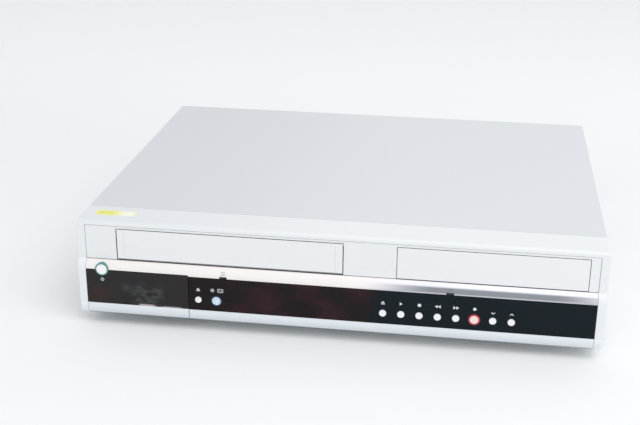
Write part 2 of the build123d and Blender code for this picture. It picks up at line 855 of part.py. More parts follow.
# ================================================================ jack bay behind the flap
with BuildPart() as jack_bay:
    box(bay_left + bay_play, bay_right - bay_play, carrier_y, bay_back, bay_floor, bay_top - bay_play)
    flange_front = carrier_back + bay_play
    box(bay_left - bay_flange, bay_right + bay_flange, flange_front, flange_front + bay_wall,
        bay_floor, bay_top + bay_flange)
    box(bay_left + bay_play + bay_wall, bay_right - bay_play - bay_wall, carrier_y, jack_face,
        bay_floor + bay_wall, bay_top - bay_play - bay_wall, Mode.SUBTRACT)
    for x0 in (bay_left + bay_play, bay_right - bay_play - bay_foot):
        box(x0, x0 + bay_foot, bay_back - bay_foot, bay_back, chassis_top, bay_floor)
keep(jack_bay.part, "jack_bay")

# ================================================================ line sockets, in the bay and at the back
with BuildPart() as line_sockets:
    for x in front_jack_places:
        bar_y(x, bay_centre_z, jack_face - jack_length, jack_face, jack_radius)
    box(socket_block[0], socket_block[1], panel_in - socket_housing, panel_out, socket_block[2], socket_block[3])
    for x, z in socket_places:
        bar_y(x, z, panel_out, rear_y + jack_reach, jack_radius)
keep(line_sockets.part, "line_sockets")

# ================================================================ boards behind the front
with BuildPart() as front_board:
    box(board_left, board_right, board_y, board_y + board_thick, board_bottom, board_top)
    for label, x, z, cap, behind in buttons:
        if label != "power_button":
            box(x - switch_side / 2, x + switch_side / 2, switch_front, board_y,
                z - switch_side / 2, z + switch_side / 2)
keep(front_board.part, "front_board")

with BuildPart() as display_tube:
    tube_low = panel_low + panel_return + tube_gap
    tube_high = panel_high - panel_return - tube_gap
    box(tube_left, tube_right, panel_back + tube_gap, board_y - tube_base_thick, tube_low, tube_high)
    box(tube_left + tube_gap, tube_right - tube_gap, board_y - tube_base_thick, board_y,
        tube_low + tube_gap, tube_high - tube_gap)
keep(display_tube.part, "display_tube")

with BuildPart() as power_switch:
    box(power_board_left, power_board_right, board_y, board_y + board_thick, power_board_low, power_board_top)
    box(power_x - switch_side / 2, power_x + switch_side / 2, power_switch_front, board_y,
        power_z - switch_side / 2, power_z + switch_side / 2)
keep(power_switch.part, "power_switch")

# ================================================================ sheet metal case
with BuildPart() as top_cover:
    with BuildSketch(Plane.XZ.offset(-rear_y)) as shell:
        with Locations((0, (chassis_base - sheet + height) / 2)):
            Rectangle(width, height - chassis_base + sheet)
        fillet(shell.vertices().group_by(Axis.Y)[-1], cover_bend)
        with Locations((0, (chassis_base + height - sheet) / 2)):
            Rectangle(2 * cover_inner, height - chassis_base - sheet, mode=Mode.SUBTRACT)
        with Locations((0, chassis_base)):
            Rectangle(2 * (cover_inner - cover_flange), 4 * sheet, mode=Mode.SUBTRACT)
    extrude(amount=rear_y - cover_y)
    # the back edge turns down over the rear panel
    box(-cover_inner, cover_inner, rear_y - sheet, rear_y, height - sheet - cover_flange, height - sheet)
    # cooling slots in both sides
    with BuildSketch(Plane.YZ.offset(-width / 2)):
        with Locations((rear_y - vent_back, height - vent_drop - vent_height / 2)):
            with GridLocations(vent_pitch, vent_height, vent_count, 1):
                Rectangle(vent_width, vent_height)
    extrude(amount=width, mode=Mode.SUBTRACT)
keep(top_cover.part, "top_cover")

with BuildPart() as base_chassis:
    box(-chassis_half, chassis_half, cover_y, panel_in, chassis_base, chassis_top)
    # the front tongue that lies on the floor of the bezel
    box(-hollow_half + cover_gap, hollow_half - cover_gap, chassis_front, cover_y, chassis_base, chassis_top)
    for side in (-1, 1):
        near, far = mirrored(0, side, chassis_half - chassis_sheet, chassis_half)
        box(near, far, seam_y + flange_start, panel_in, chassis_top, chassis_base + chassis_flange)
    # pressed ribs that stiffen the floor under the deck
    with BuildSketch(Plane.XY.offset(chassis_top)):
        with Locations((cassette_x, deck_front + 2 * rib_pitch)):
            with GridLocations(1.0, rib_pitch, 1, 3):
                Rectangle(rib_long, rib_wide)
    extrude(amount=rib_rise, taper=rib_taper)
    # cooling slots under the main board
    with BuildSketch(Plane.XY.offset(chassis_base)):
        with Locations(((main_left + main_right) / 2, rear_y - slot_back)):
            with GridLocations(slot_pitch, slot_long, slot_count, 1):
                Rectangle(slot_wide, slot_long)
    extrude(amount=chassis_sheet, mode=Mode.SUBTRACT)
    # turned-up tabs that carry the two boards
    for x, y in main_posts + power_posts:
        box(x - standoff_side / 2, x + standoff_side / 2, y - standoff_side / 2, y + standoff_side / 2,
            chassis_top, main_board_base)
keep(base_chassis.part, "base_chassis")

with BuildPart() as rear_panel:
    box(-chassis_half, chassis_half, panel_in, panel_out, chassis_base, panel_top)
    # openings for the mains inlet and the two blocks of sockets
    box(inlet_x - inlet_width / 2, inlet_x + inlet_width / 2, panel_in, panel_out,
        inlet_z - inlet_height / 2, inlet_z + inlet_height / 2, Mode.SUBTRACT)
    for x0, x1, z0, z1 in (socket_block, tuner_block):
        box(x0 - socket_play, x1 + socket_play, panel_in, panel_out, z0 - socket_play, z1 + socket_play,
            Mode.SUBTRACT)
    # cooling louvres between them
    with BuildSketch(Plane.XZ.offset(-panel_out)):
        with Locations((louvre_x, (chassis_base + height) / 2)):
            with GridLocations(louvre_wide, louvre_pitch, 1, louvre_count):
                Rectangle(louvre_wide, louvre_tall)
    extrude(amount=chassis_sheet, mode=Mode.SUBTRACT)
keep(rear_panel.part, "rear_panel")

# ================================================================ feet
with BuildPart() as feet:
    with BuildSketch(Plane.XY.offset(chassis_base)):
        with Locations(*foot_places):
            Rectangle(foot_long, foot_wide)
    extrude(amount=pad_thick - chassis_base, taper=foot_draft)
keep(feet.part, "feet")

with BuildPart() as foot_pads:
    for x, y in foot_places:
        box(x - pad_long / 2, x + pad_long / 2, y - pad_wide / 2, y + pad_wide / 2, 0, pad_thick)
keep(foot_pads.part, "foot_pads")

# ================================================================ disc drive
with BuildPart() as drive_frame:
    box(tray_x - drive_half, tray_x + drive_half, drive_front, drive_rear, drive_base, drive_floor)
    box(tray_x - window_half, tray_x + window_half, disc_y - window_front,
        mech_hinge_y + window_back, drive_base, drive_floor, Mode.SUBTRACT)
    for side in (-1, 1):
        near, far = mirrored(tray_x, side, drive_inner, drive_half)
        box(near, far, drive_front, drive_rear, drive_base, drive_wall_top)
        # rails under the tray's edges and guides above them
        near, far = mirrored(tray_x, side, drive_inner - rail_width, drive_inner)
        rail_top = tray_bottom - tray_play
        box(near, far, drive_front, drive_rear, rail_top - rail_thick, rail_top)
        for reach in guide_places:
            y = drive_front + reach
            box(near, far, y, y + guide_length, tray_top + tray_play, tray_top + tray_play + rail_width)
        # ears with the bores of the mechanism's hinge
        near, far = mirrored(tray_x, side, window_half - ear_wide, window_half + ear_wide)
        box(near, far, mech_hinge_y - ear_half, mech_hinge_y + ear_half, drive_base, mech_hinge_z + ear_half)
        bar_x(mech_hinge_y, mech_hinge_z, near, far, mech_pin_radius + axle_clear, Mode.SUBTRACT)
        # legs that stand on the floor of the chassis
        near, far = mirrored(tray_x, side, drive_half - drive_leg_wide, drive_half)
        for y in (drive_front + drive_leg_front, drive_rear - drive_leg_back):
            box(near, far, y, y + drive_leg_wide, chassis_top, drive_base)
    box(tray_x - drive_half, tray_x + drive_half, drive_rear - drive_wall, drive_rear, drive_base, drive_wall_top)
    post(gear_x, gear_y, drive_floor, gear_base + gear_thick, gear_axle)
    box(gear_x - gear_shoulder, gear_x + gear_shoulder, gear_y - gear_shoulder, gear_y + gear_shoulder,
        drive_floor, gear_base - joint_gap)
keep(drive_frame.part, "drive_frame")

with BuildPart() as disc_tray:
    box(tray_x - tray_half, tray_x + tray_half, tray_front, tray_rear, tray_bottom, tray_top)
    post(tray_x, disc_y, tray_top - disc_recess_depth, tray_top, disc_recess, Mode.SUBTRACT)
    post(tray_x, disc_y, tray_top - small_recess_depth, tray_top, small_recess, Mode.SUBTRACT)
    # the slot that the turntable and the lens come up through
    post(tray_x, disc_y, tray_bottom, tray_top, light_slot_half, Mode.SUBTRACT)
    box(tray_x - light_slot_half, tray_x + light_slot_half, disc_y, tray_rear, tray_bottom, tray_top, Mode.SUBTRACT)
    # the underside is hollowed to a rim and cross ribs
    bay_pitch = (tray_rear - tray_front - tray_rim) / 3
    for side in (-1, 1):
        near, far = mirrored(tray_x, side, light_slot_half + tray_rim, tray_half - tray_edge)
        for i in range(3):
            y0 = tray_front + tray_rim + bay_pitch * i
            box(near, far, y0, y0 + bay_pitch - tray_rib, tray_bottom, tray_top - tray_skin, Mode.SUBTRACT)
    # the rack that the loading gear drives
    box(rack_back - rack_web, rack_back, rack_start, rack_end, tray_bottom - rack_thick, tray_bottom + rack_sink)
    with BuildSketch(Plane.XY.offset(tray_bottom - rack_thick)):
        flank_slope = 2 * tan(pressure_angle)
        root = tooth_pitch / 2 + dedendum * flank_slope - tooth_backlash
        tip = tooth_pitch / 2 - tooth_module * flank_slope - tooth_backlash
        tooth_start = rack_back - rack_web / 10
        for i in range(rack_teeth):
            y = rack_start + tooth_pitch * (i + 0.5)
            with BuildLine():
                Polyline(
                    (tooth_start, y - root / 2),
                    (rack_line + tooth_module, y - tip / 2),
                    (rack_line + tooth_module, y + tip / 2),
                    (tooth_start, y + root / 2),
                    close=True,
                )
            make_face()
    extrude(amount=rack_thick)
keep(disc_tray.part, "disc_tray")

with BuildPart() as tray_fascia:
    fascia_half = tray_slot_half - tray_gap
    box(tray_x - fascia_half, tray_x + fascia_half, door_y, tray_front,
        aperture_base + tray_gap, aperture_top - tray_gap)
keep(tray_fascia.part, "tray_fascia")

tooth_root = gear_pitch_radius - root_sink
tooth_tip = gear_pitch_radius + tooth_module
tooth_foot = tooth_pitch / 2 + tooth_module - tooth_backlash
tooth_crest = tooth_pitch / 2 - crest_taper - tooth_backlash
with BuildPart() as loading_gear:
    with BuildSketch(Plane.XY.offset(gear_base)):
        with Locations((gear_x, gear_y)):
            Circle(gear_pitch_radius - dedendum)
            with PolarLocations(0, gear_teeth, start_angle=180):
                Polygon((tooth_root, -tooth_foot / 2), (tooth_tip, -tooth_crest / 2),
                        (tooth_tip, tooth_crest / 2), (tooth_root, tooth_foot / 2), align=None)
            Circle(gear_axle + axle_clear, mode=Mode.SUBTRACT)
    extrude(amount=gear_thick)
keep(loading_gear.part, "loading_gear")

with BuildPart() as mech_frame:
    box(tray_x - mech_half, tray_x + mech_half, disc_y - mech_front_reach, mech_hinge_y + mech_end,
        mech_base, mech_top)
    # the window that the optical sled sinks into
    window_wide = sled_half + rod_block_long
    box(tray_x - window_wide, tray_x + window_wide, rod_front + rod_block_long,
        disc_y + rod_end, mech_base, mech_top, Mode.SUBTRACT)
    # the motor under the turntable
    post(tray_x, disc_y, mech_base - motor_half, mech_top + motor_half, motor_radius)
    post(tray_x, disc_y, mech_top - motor_half, mech_top + motor_half, spindle_radius + axle_clear, Mode.SUBTRACT)
    # the two rods of the sled in their end blocks
    for side in (-1, 1):
        x = tray_x + side * rod_half
        bar_y(x, rod_z, rod_front, disc_y + rod_end, rod_radius)
        for y in (rod_front, disc_y + rod_end):
            box(x - rod_block / 2, x + rod_block / 2, y, y + rod_block_long, mech_base, rod_z + rod_block / 2)
        near, far = mirrored(tray_x, side, mech_half, mech_half + mech_pin_length)
        bar_x(mech_hinge_y, mech_hinge_z, near, far, mech_pin_radius)
keep(mech_frame.part, "mech_frame")

with BuildPart() as turntable:
    rotor_low = mech_top + motor_half + joint_gap
    add(revolved(tray_x, disc_y, [
        (0, mech_top - motor_half + joint_gap),
        (spindle_radius, mech_top - motor_half + joint_gap),
        (spindle_radius, rotor_low),
        (turntable_radius, turntable_top - turntable_thick),
        (turntable_radius, turntable_top),
        (cone_radius, turntable_top),
        (cone_radius - cone_slope, turntable_top + cone_height),
        (0, turntable_top + cone_height),
    ]))
keep(turntable.part, "turntable")

with BuildPart() as optical_sled:
    box(tray_x - sled_half, tray_x + sled_half, sled_front, sled_front + sled_length,
        rod_z - sled_low, rod_z + sled_high)
    lens_y = sled_front + lens_back
    box(tray_x - lens_base_half, tray_x + lens_base_half, lens_y - lens_base_half, lens_y + lens_base_half,
        rod_z + sled_high, lens_top - lens_thick)
    post(tray_x, lens_y, lens_top - lens_thick, lens_top, lens_radius)
    # a bore on one rod and an open fork on the other
    bar_y(tray_x - rod_half, rod_z, sled_front, sled_front + sled_length, rod_radius + axle_clear, Mode.SUBTRACT)
    fork = rod_radius + axle_clear
    box(tray_x + rod_half - fork, tray_x + sled_half, sled_front, sled_front + sled_length,
        rod_z - fork, rod_z + fork, Mode.SUBTRACT)
keep(optical_sled.part, "optical_sled")

with BuildPart() as clamp_bridge:
    box(tray_x - drive_half, tray_x + drive_half, disc_y - bridge_half, disc_y + bridge_half,
        drive_wall_top, drive_wall_top + bridge_thick)
    post(tray_x, disc_y, drive_wall_top, drive_wall_top + bridge_thick, puck_radius + puck_hole_clear, Mode.SUBTRACT)
keep(clamp_bridge.part, "clamp_bridge")

with BuildPart() as clamp_puck:
    post(tray_x, disc_y, puck_base - puck_drop, puck_base + puck_tab_thick, puck_radius)
    # three tabs that rest on the bridge
    with Locations((tray_x, disc_y, puck_base + puck_tab_thick / 2)):
        with PolarLocations(puck_tab_reach / 2, 3):
            Box(puck_tab_reach, puck_tab_wide, puck_tab_thick)
keep(clamp_puck.part, "clamp_puck")

# ================================================================ video deck
bearings = [(cassette_x - reel_pitch / 2, reel_y, reel_shaft), (cassette_x + reel_pitch / 2, reel_y, reel_shaft),
            (capstan_x, capstan_y, capstan_radius)]
with BuildPart() as deck_chassis:
    box(deck_left, deck_right, deck_front, deck_rear, deck_base, deck_top)
    for x, y, radius in bearings:
        post(x, y, deck_base, deck_top, radius + axle_clear, Mode.SUBTRACT)
    # lightening window under the cassette
    box(cassette_x - window_side, cassette_x + window_side, reel_y - window_before, reel_y + window_behind,
        deck_base, deck_top, Mode.SUBTRACT)
    # shoulder and post of the pinch arm
    box(pinch_x - pinch_post, pinch_x + pinch_post, pinch_y - pinch_post, pinch_y + pinch_post,
        deck_top, pinch_base - joint_gap)
    post(pinch_x, pinch_y, pinch_base - joint_gap, pinch_base + 3 * pinch_arm_thick, capstan_radius)
    # legs, bent down from the corners
    for x0 in (deck_left, deck_right - deck_sheet):
        for y0 in (deck_front + deck_leg_inset, deck_rear - deck_leg_inset - deck_leg_long):
            box(x0, x0 + deck_sheet, y0, y0 + deck_leg_long, chassis_top, deck_base)
keep(deck_chassis.part, "deck_chassis")

with BuildPart() as deck_brackets:
    for side in (-1, 1):
        near, far = mirrored(cassette_x, side, bracket_inner, bracket_outer)
        box(near, far, deck_front, bracket_rear, deck_top, bracket_top)
        # the long slot that the carriage's shoes run in
        box(near, far, shoe_places[0] - shoe_slot, shoe_places[1] + holder_slide + shoe_slot,
            carriage_shoe_z - shoe_slot, carriage_shoe_z + shoe_slot, Mode.SUBTRACT)
        # foot flange, turned outwards
        near, far = mirrored(cassette_x, side, bracket_outer, bracket_outer + bracket_foot)
        box(near, far, deck_front, bracket_rear, deck_top, deck_top + bracket_thick)
keep(deck_brackets.part, "deck_brackets")

with BuildPart() as cassette_carriage:
    for side in (-1, 1):
        near, far = mirrored(cassette_x, side, carriage_inner, carriage_outer)
        box(near, far, carriage_y, carriage_rear, carriage_base, carriage_top)
        shoe_near, shoe_far = mirrored(cassette_x, side, carriage_outer, bracket_outer)
        for y in shoe_places:
            box(near, far, y - shoe_slot, y + shoe_slot, holder_shoe_z - holder_drop - shoe_slot,
                holder_shoe_z + shoe_slot, Mode.SUBTRACT)
            box(shoe_near, shoe_far, y - shoe_half, y + shoe_half,
                carriage_shoe_z - shoe_half, carriage_shoe_z + shoe_half)
    # the cross bar that makes both sides move together
    bar_middle = (carriage_y + carriage_rear) / 2
    box(cassette_x - carriage_outer, cassette_x + carriage_outer, bar_middle - cross_bar_half,
        bar_middle + cross_bar_half, carriage_top - cross_bar_thick, carriage_top)
keep(cassette_carriage.part, "cassette_carriage")

with BuildPart() as cassette_holder:
    box(cassette_x - holder_outer, cassette_x + holder_outer, holder_front, holder_rear,
        holder_base - holder_sheet, holder_top + holder_sheet)
    box(cassette_x - holder_half, cassette_x + holder_half, holder_front, holder_rear,
        holder_base, holder_top, Mode.SUBTRACT)
    lip_half = holder_half - holder_lip
    box(cassette_x - lip_half, cassette_x + lip_half, holder_front, holder_rear,
        holder_base - holder_sheet, holder_base, Mode.SUBTRACT)
    box(cassette_x - holder_window_half, cassette_x + holder_window_half, holder_front + holder_window_front,
        holder_rear - holder_window_back, holder_top, holder_top + holder_sheet, Mode.SUBTRACT)
    for side in (-1, 1):
        near, far = mirrored(cassette_x, side, lip_half, holder_half)
        box(near, far, holder_rear - holder_sheet, holder_rear, holder_base, holder_top)
        near, far = mirrored(cassette_x, side, holder_outer, carriage_outer - shoe_end_gap)
        for y in shoe_places:
            box(near, far, y - shoe_half, y + shoe_half, holder_shoe_z - shoe_half, holder_shoe_z + shoe_half)
keep(cassette_holder.part, "cassette_holder")

for label, side in (("supply_reel", -1), ("takeup_reel", 1)):
    reel_x = cassette_x + side * reel_pitch / 2
    with BuildPart() as reel:
        # the disc with its notched rim, the hub with three fins, and the shaft
        rim = [(reel_radius - reel_notch * (i % 2), pi * i / reel_teeth) for i in range(2 * reel_teeth)]
        with BuildSketch(Plane.XY.offset(reel_low)):
            with Locations((reel_x, reel_y)):
                Polygon(*[(r * cos(turn), r * sin(turn)) for r, turn in rim], align=None)
        extrude(amount=reel_disc)
        post(reel_x, reel_y, reel_low + reel_disc, reel_low + reel_height, reel_hub)
        post(reel_x, reel_y, deck_base + shaft_drop, reel_low, reel_shaft)
        with Locations((reel_x, reel_y, reel_low + (reel_fin_low + reel_fin_high) / 2)):
            with PolarLocations(reel_fin_reach / 2, 3):
                Box(reel_fin_reach, reel_fin_thick, reel_fin_high - reel_fin_low)
    keep(reel.part, label)

with BuildPart() as drum_base:
    box(cassette_x - drum_pedestal, cassette_x + drum_pedestal, drum_y - drum_pedestal, drum_y + drum_pedestal,
        deck_top, deck_top + drum_rise)
    with BuildSketch(drum_plane):
        Circle(drum_radius)
    extrude(amount=drum_lower)
    with BuildSketch(drum_plane.offset(drum_lower)):
        Circle(drum_shaft + axle_clear)
    extrude(amount=-drum_bore, mode=Mode.SUBTRACT)
keep(drum_base.part, "drum_base")

with BuildPart() as head_drum:
    with BuildSketch(drum_plane.offset(drum_lower + drum_gap)):
        Circle(drum_radius)
    extrude(amount=drum_upper)
    with BuildSketch(drum_plane.offset(drum_lower + drum_gap)):
        Circle(drum_shaft)
    extrude(amount=-drum_bore)
keep(head_drum.part, "head_drum")

with BuildPart() as capstan:
    add(revolved(capstan_x, capstan_y, [
        (0, flywheel_base),
        (flywheel_radius, flywheel_base),
        (flywheel_radius, flywheel_base + flywheel_thick),
        (capstan_radius, flywheel_base + flywheel_thick),
        (capstan_radius, deck_top + capstan_height),
        (0, deck_top + capstan_height),
    ]))
keep(capstan.part, "capstan")

with BuildPart() as pinch_arm:
    rest = radians(pinch_rest_angle)
    roller_x = pinch_x + pinch_arm_length * cos(rest)
    roller_y = pinch_y + pinch_arm_length * sin(rest)
    with BuildSketch(Plane.XY.offset(pinch_base)):
        with Locations(((pinch_x + roller_x) / 2, (pinch_y + roller_y) / 2)):
            Rectangle(pinch_arm_length + pinch_arm_wide, pinch_arm_wide, rotation=pinch_rest_angle)
        with Locations((pinch_x, pinch_y)):
            Circle(capstan_radius + axle_clear, mode=Mode.SUBTRACT)
    extrude(amount=pinch_arm_thick)
    post(roller_x, roller_y, pinch_base - pinch_roller, pinch_base, pinch_radius)
keep(pinch_arm.part, "pinch_arm")

# ================================================================ boards and sockets at the back
with BuildPart() as main_board:
    box(main_left, main_right, main_front, main_rear, main_board_base, board_face)
    for side in (-1, 1):
        near, far = mirrored(tray_x, side, drive_half - drive_leg_wide - 1.0, drive_half + 1.0)
        for y in (drive_front + drive_leg_front, drive_rear - drive_leg_back):
            box(near, far, y - 1.0, y + drive_leg_wide + 1.0, main_board_base, board_face, Mode.SUBTRACT)
    # a large and a small processor, a heat sink and two smoothing capacitors
    middle_x = (main_left + main_right) / 2
    middle_y = (main_front + main_rear) / 2
    box(middle_x - chip_side, middle_x, middle_y - chip_side, middle_y, board_face, board_face + chip_height)
    box(middle_x + chip_side / 2, middle_x + chip_side, middle_y - chip_side, middle_y - chip_side / 2,
        board_face, board_face + chip_height)
    box(middle_x + chip_side, middle_x + chip_side + sink_wide, middle_y, middle_y + sink_long,
        board_face, board_face + sink_height)
    for y in (middle_y + chip_side / 2, middle_y + chip_side):
        post(middle_x - chip_side, y, board_face, board_face + cap_height, cap_radius)
keep(main_board.part, "main_board")

with BuildPart() as power_board:
    box(power_left, power_right, power_front, power_rear, main_board_base, board_face)
    part_front = power_front + power_part_gap
    part_rear = power_rear - power_part_gap
    left = power_left + transformer_left
    box(left, left + transformer_wide, part_front, part_rear, board_face, board_face + transformer_height)
    left = power_left + power_sink_left
    box(left, left + power_sink_thick, part_front, part_rear, board_face, board_face + power_sink_height)
    post(power_left + reservoir_left, (power_front + power_rear) / 2, board_face, board_face + reservoir_height,
         reservoir_share * power_depth)
keep(power_board.part, "power_board")

with BuildPart() as ac_inlet:
    half_wide = inlet_width / 2
    half_tall = inlet_height / 2
    housing_front = panel_in - socket_housing
    flange_back = panel_out + inlet_flange_thick
    box(inlet_x - half_wide + inlet_play, inlet_x + half_wide - inlet_play, housing_front, panel_out,
        inlet_z - half_tall + inlet_play, inlet_z + half_tall - inlet_play)
    box(inlet_x - half_wide - inlet_flange, inlet_x + half_wide + inlet_flange, panel_out, flange_back,
        inlet_z - half_tall - inlet_flange, inlet_z + half_tall + inlet_flange)
    with BuildSketch(Plane.XZ.offset(-flange_back)):
        with Locations((inlet_x, inlet_z)):
            SlotOverall(inlet_slot_wide, inlet_slot_tall)
    extrude(amount=socket_housing - inlet_flange_thick, mode=Mode.SUBTRACT)
    for side in (-1, 1):
        x = inlet_x + side * blade_offset
        box(x - blade_half, x + blade_half, housing_front + inlet_flange_thick, panel_out - blade_half,
            inlet_z - blade_half, inlet_z + blade_half)
    # the housing stands on the power board
    box(inlet_x - inlet_foot, inlet_x + inlet_foot, housing_front, panel_in - blade_half,
        board_face, inlet_z - half_tall + inlet_play)
keep(ac_inlet.part, "ac_inlet")

with BuildPart() as tuner:
    box(tuner_block[0], tuner_block[1], panel_in - tuner_depth, panel_out, tuner_block[2], tuner_block[3])
    for x, z in aerial_places:
        bar_y(x, z, panel_out, rear_y + jack_reach, aerial_radius)
keep(tuner.part, "tuner")
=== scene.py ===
"""Looks of a flat silver recorder with a cassette door, a disc tray and a dark control band.

The frame holds every rigid piece at its real size, in metres, with +Z up and the front towards -Y.
This script gives each piece its finish, with painted light and shade in some of them, adds the printed marks
and painted shade lines, and lights and frames the view.
"""

import logging
import math
from collections.abc import Iterable, Sequence
from dataclasses import dataclass, field
from enum import Enum
from functools import reduce

import bmesh
import bpy
from mathutils import Matrix, Vector
from mathutils.bvhtree import BVHTree


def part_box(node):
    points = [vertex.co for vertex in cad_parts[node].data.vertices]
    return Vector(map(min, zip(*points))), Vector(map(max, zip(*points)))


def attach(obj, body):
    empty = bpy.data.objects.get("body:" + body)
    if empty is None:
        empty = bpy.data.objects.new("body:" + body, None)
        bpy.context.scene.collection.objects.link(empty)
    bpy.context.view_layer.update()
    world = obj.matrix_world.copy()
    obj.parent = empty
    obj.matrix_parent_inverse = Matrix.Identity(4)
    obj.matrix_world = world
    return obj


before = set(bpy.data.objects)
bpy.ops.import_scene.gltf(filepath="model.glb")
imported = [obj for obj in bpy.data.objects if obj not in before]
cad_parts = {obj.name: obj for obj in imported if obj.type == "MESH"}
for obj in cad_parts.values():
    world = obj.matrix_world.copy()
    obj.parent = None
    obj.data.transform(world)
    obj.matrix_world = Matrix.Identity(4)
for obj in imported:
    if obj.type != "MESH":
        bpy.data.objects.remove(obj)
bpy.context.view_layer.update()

LOG = logging.getLogger("recorder")
MM = 0.001
Colour = tuple[float, float, float]
Point2 = tuple[float, float]
Triple = tuple[float, float, float]
Socket = bpy.types.NodeSocket


def srgb(red: int, green: int, blue: int) -> Colour:
    """Turn a display colour into a scene colour.

    Args:
        red: Red, 0 to 255.
        green: Green, 0 to 255.
        blue: Blue, 0 to 255.

    Returns:
        The linear colour, 0 to 1.
    """
    def channel(value: int) -> float:
        """Undo the display curve of one channel."""
        part = value / 255.0
        return part / 12.92 if part <= 0.04045 else ((part + 0.055) / 1.055) ** 2.4

    return channel(red), channel(green), channel(blue)


# ---------------------------------------------------------------- shader nodes
MIX_FIRST, MIX_SECOND, MIX_RESULT = 6, 7, 2  # the colour sockets of a mix node, by their order


class Nodes:
    """A node tree, with short calls to add its nodes and join them."""

    def __init__(self, tree: bpy.types.NodeTree) -> None:
        """Take the tree.

        Args:
            tree: The tree that gets the nodes.
        """
        self.tree = tree

    def find(self, kind: str) -> bpy.types.Node:
        """Give the tree's first node of a type.

        Args:
            kind: Blender's name for the type, in capitals.

        Returns:
            The node.
        """
        return next(node for node in self.tree.nodes if node.type == kind)

    def add(self, kind: str, **values: object) -> bpy.types.Node:
        """Add a node.

        Args:
            kind: Blender's name for the node type.
            **values: Attributes of the node to set.

        Returns:
            The new node.
        """
        node = self.tree.nodes.new(kind)
        for key, value in values.items():
            setattr(node, key, value)
        return node

    def feed(self, target: Socket, value: Socket | Colour | float) -> None:
        """Give an input its value.

        Args:
            target: The input.
            value: A socket to link, a colour or a number.
        """
        if isinstance(value, Socket):
            self.tree.links.new(value, target)
        elif isinstance(value, tuple):
            target.default_value = (*value, 1.0)
        else:
            target.default_value = value

    def maths(self, operation: str, *values: Socket | float) -> Socket:
        """Add a calculation.

        Args:
            operation: Blender's name for it.
            *values: Its inputs, in order.

        Returns:
            The socket of the result.
        """
        node = self.add("ShaderNodeMath", operation=operation)
        for target, value in zip(node.inputs, values):
            self.feed(target, value)
        return node.outputs[0]

    def spread(self, source: Socket, result: Point2, over: Point2 = (0.0, 1.0),
               shape: str = "LINEAR") -> Socket:
        """Map one range of values onto another.

        Args:
            source: The socket to map.
            result: The result at the start and at the end of the range.
            over: The start and the end of the range.
            shape: LINEAR, or SMOOTHSTEP for a soft change.

        Returns:
            The socket of the mapped value.
        """
        node = self.add("ShaderNodeMapRange", interpolation_type=shape)
        inputs = ("Value", "From Min", "From Max", "To Min", "To Max")
        for name, value in zip(inputs, (source, *over, *result)):
            self.feed(node.inputs[name], value)
        return node.outputs["Result"]


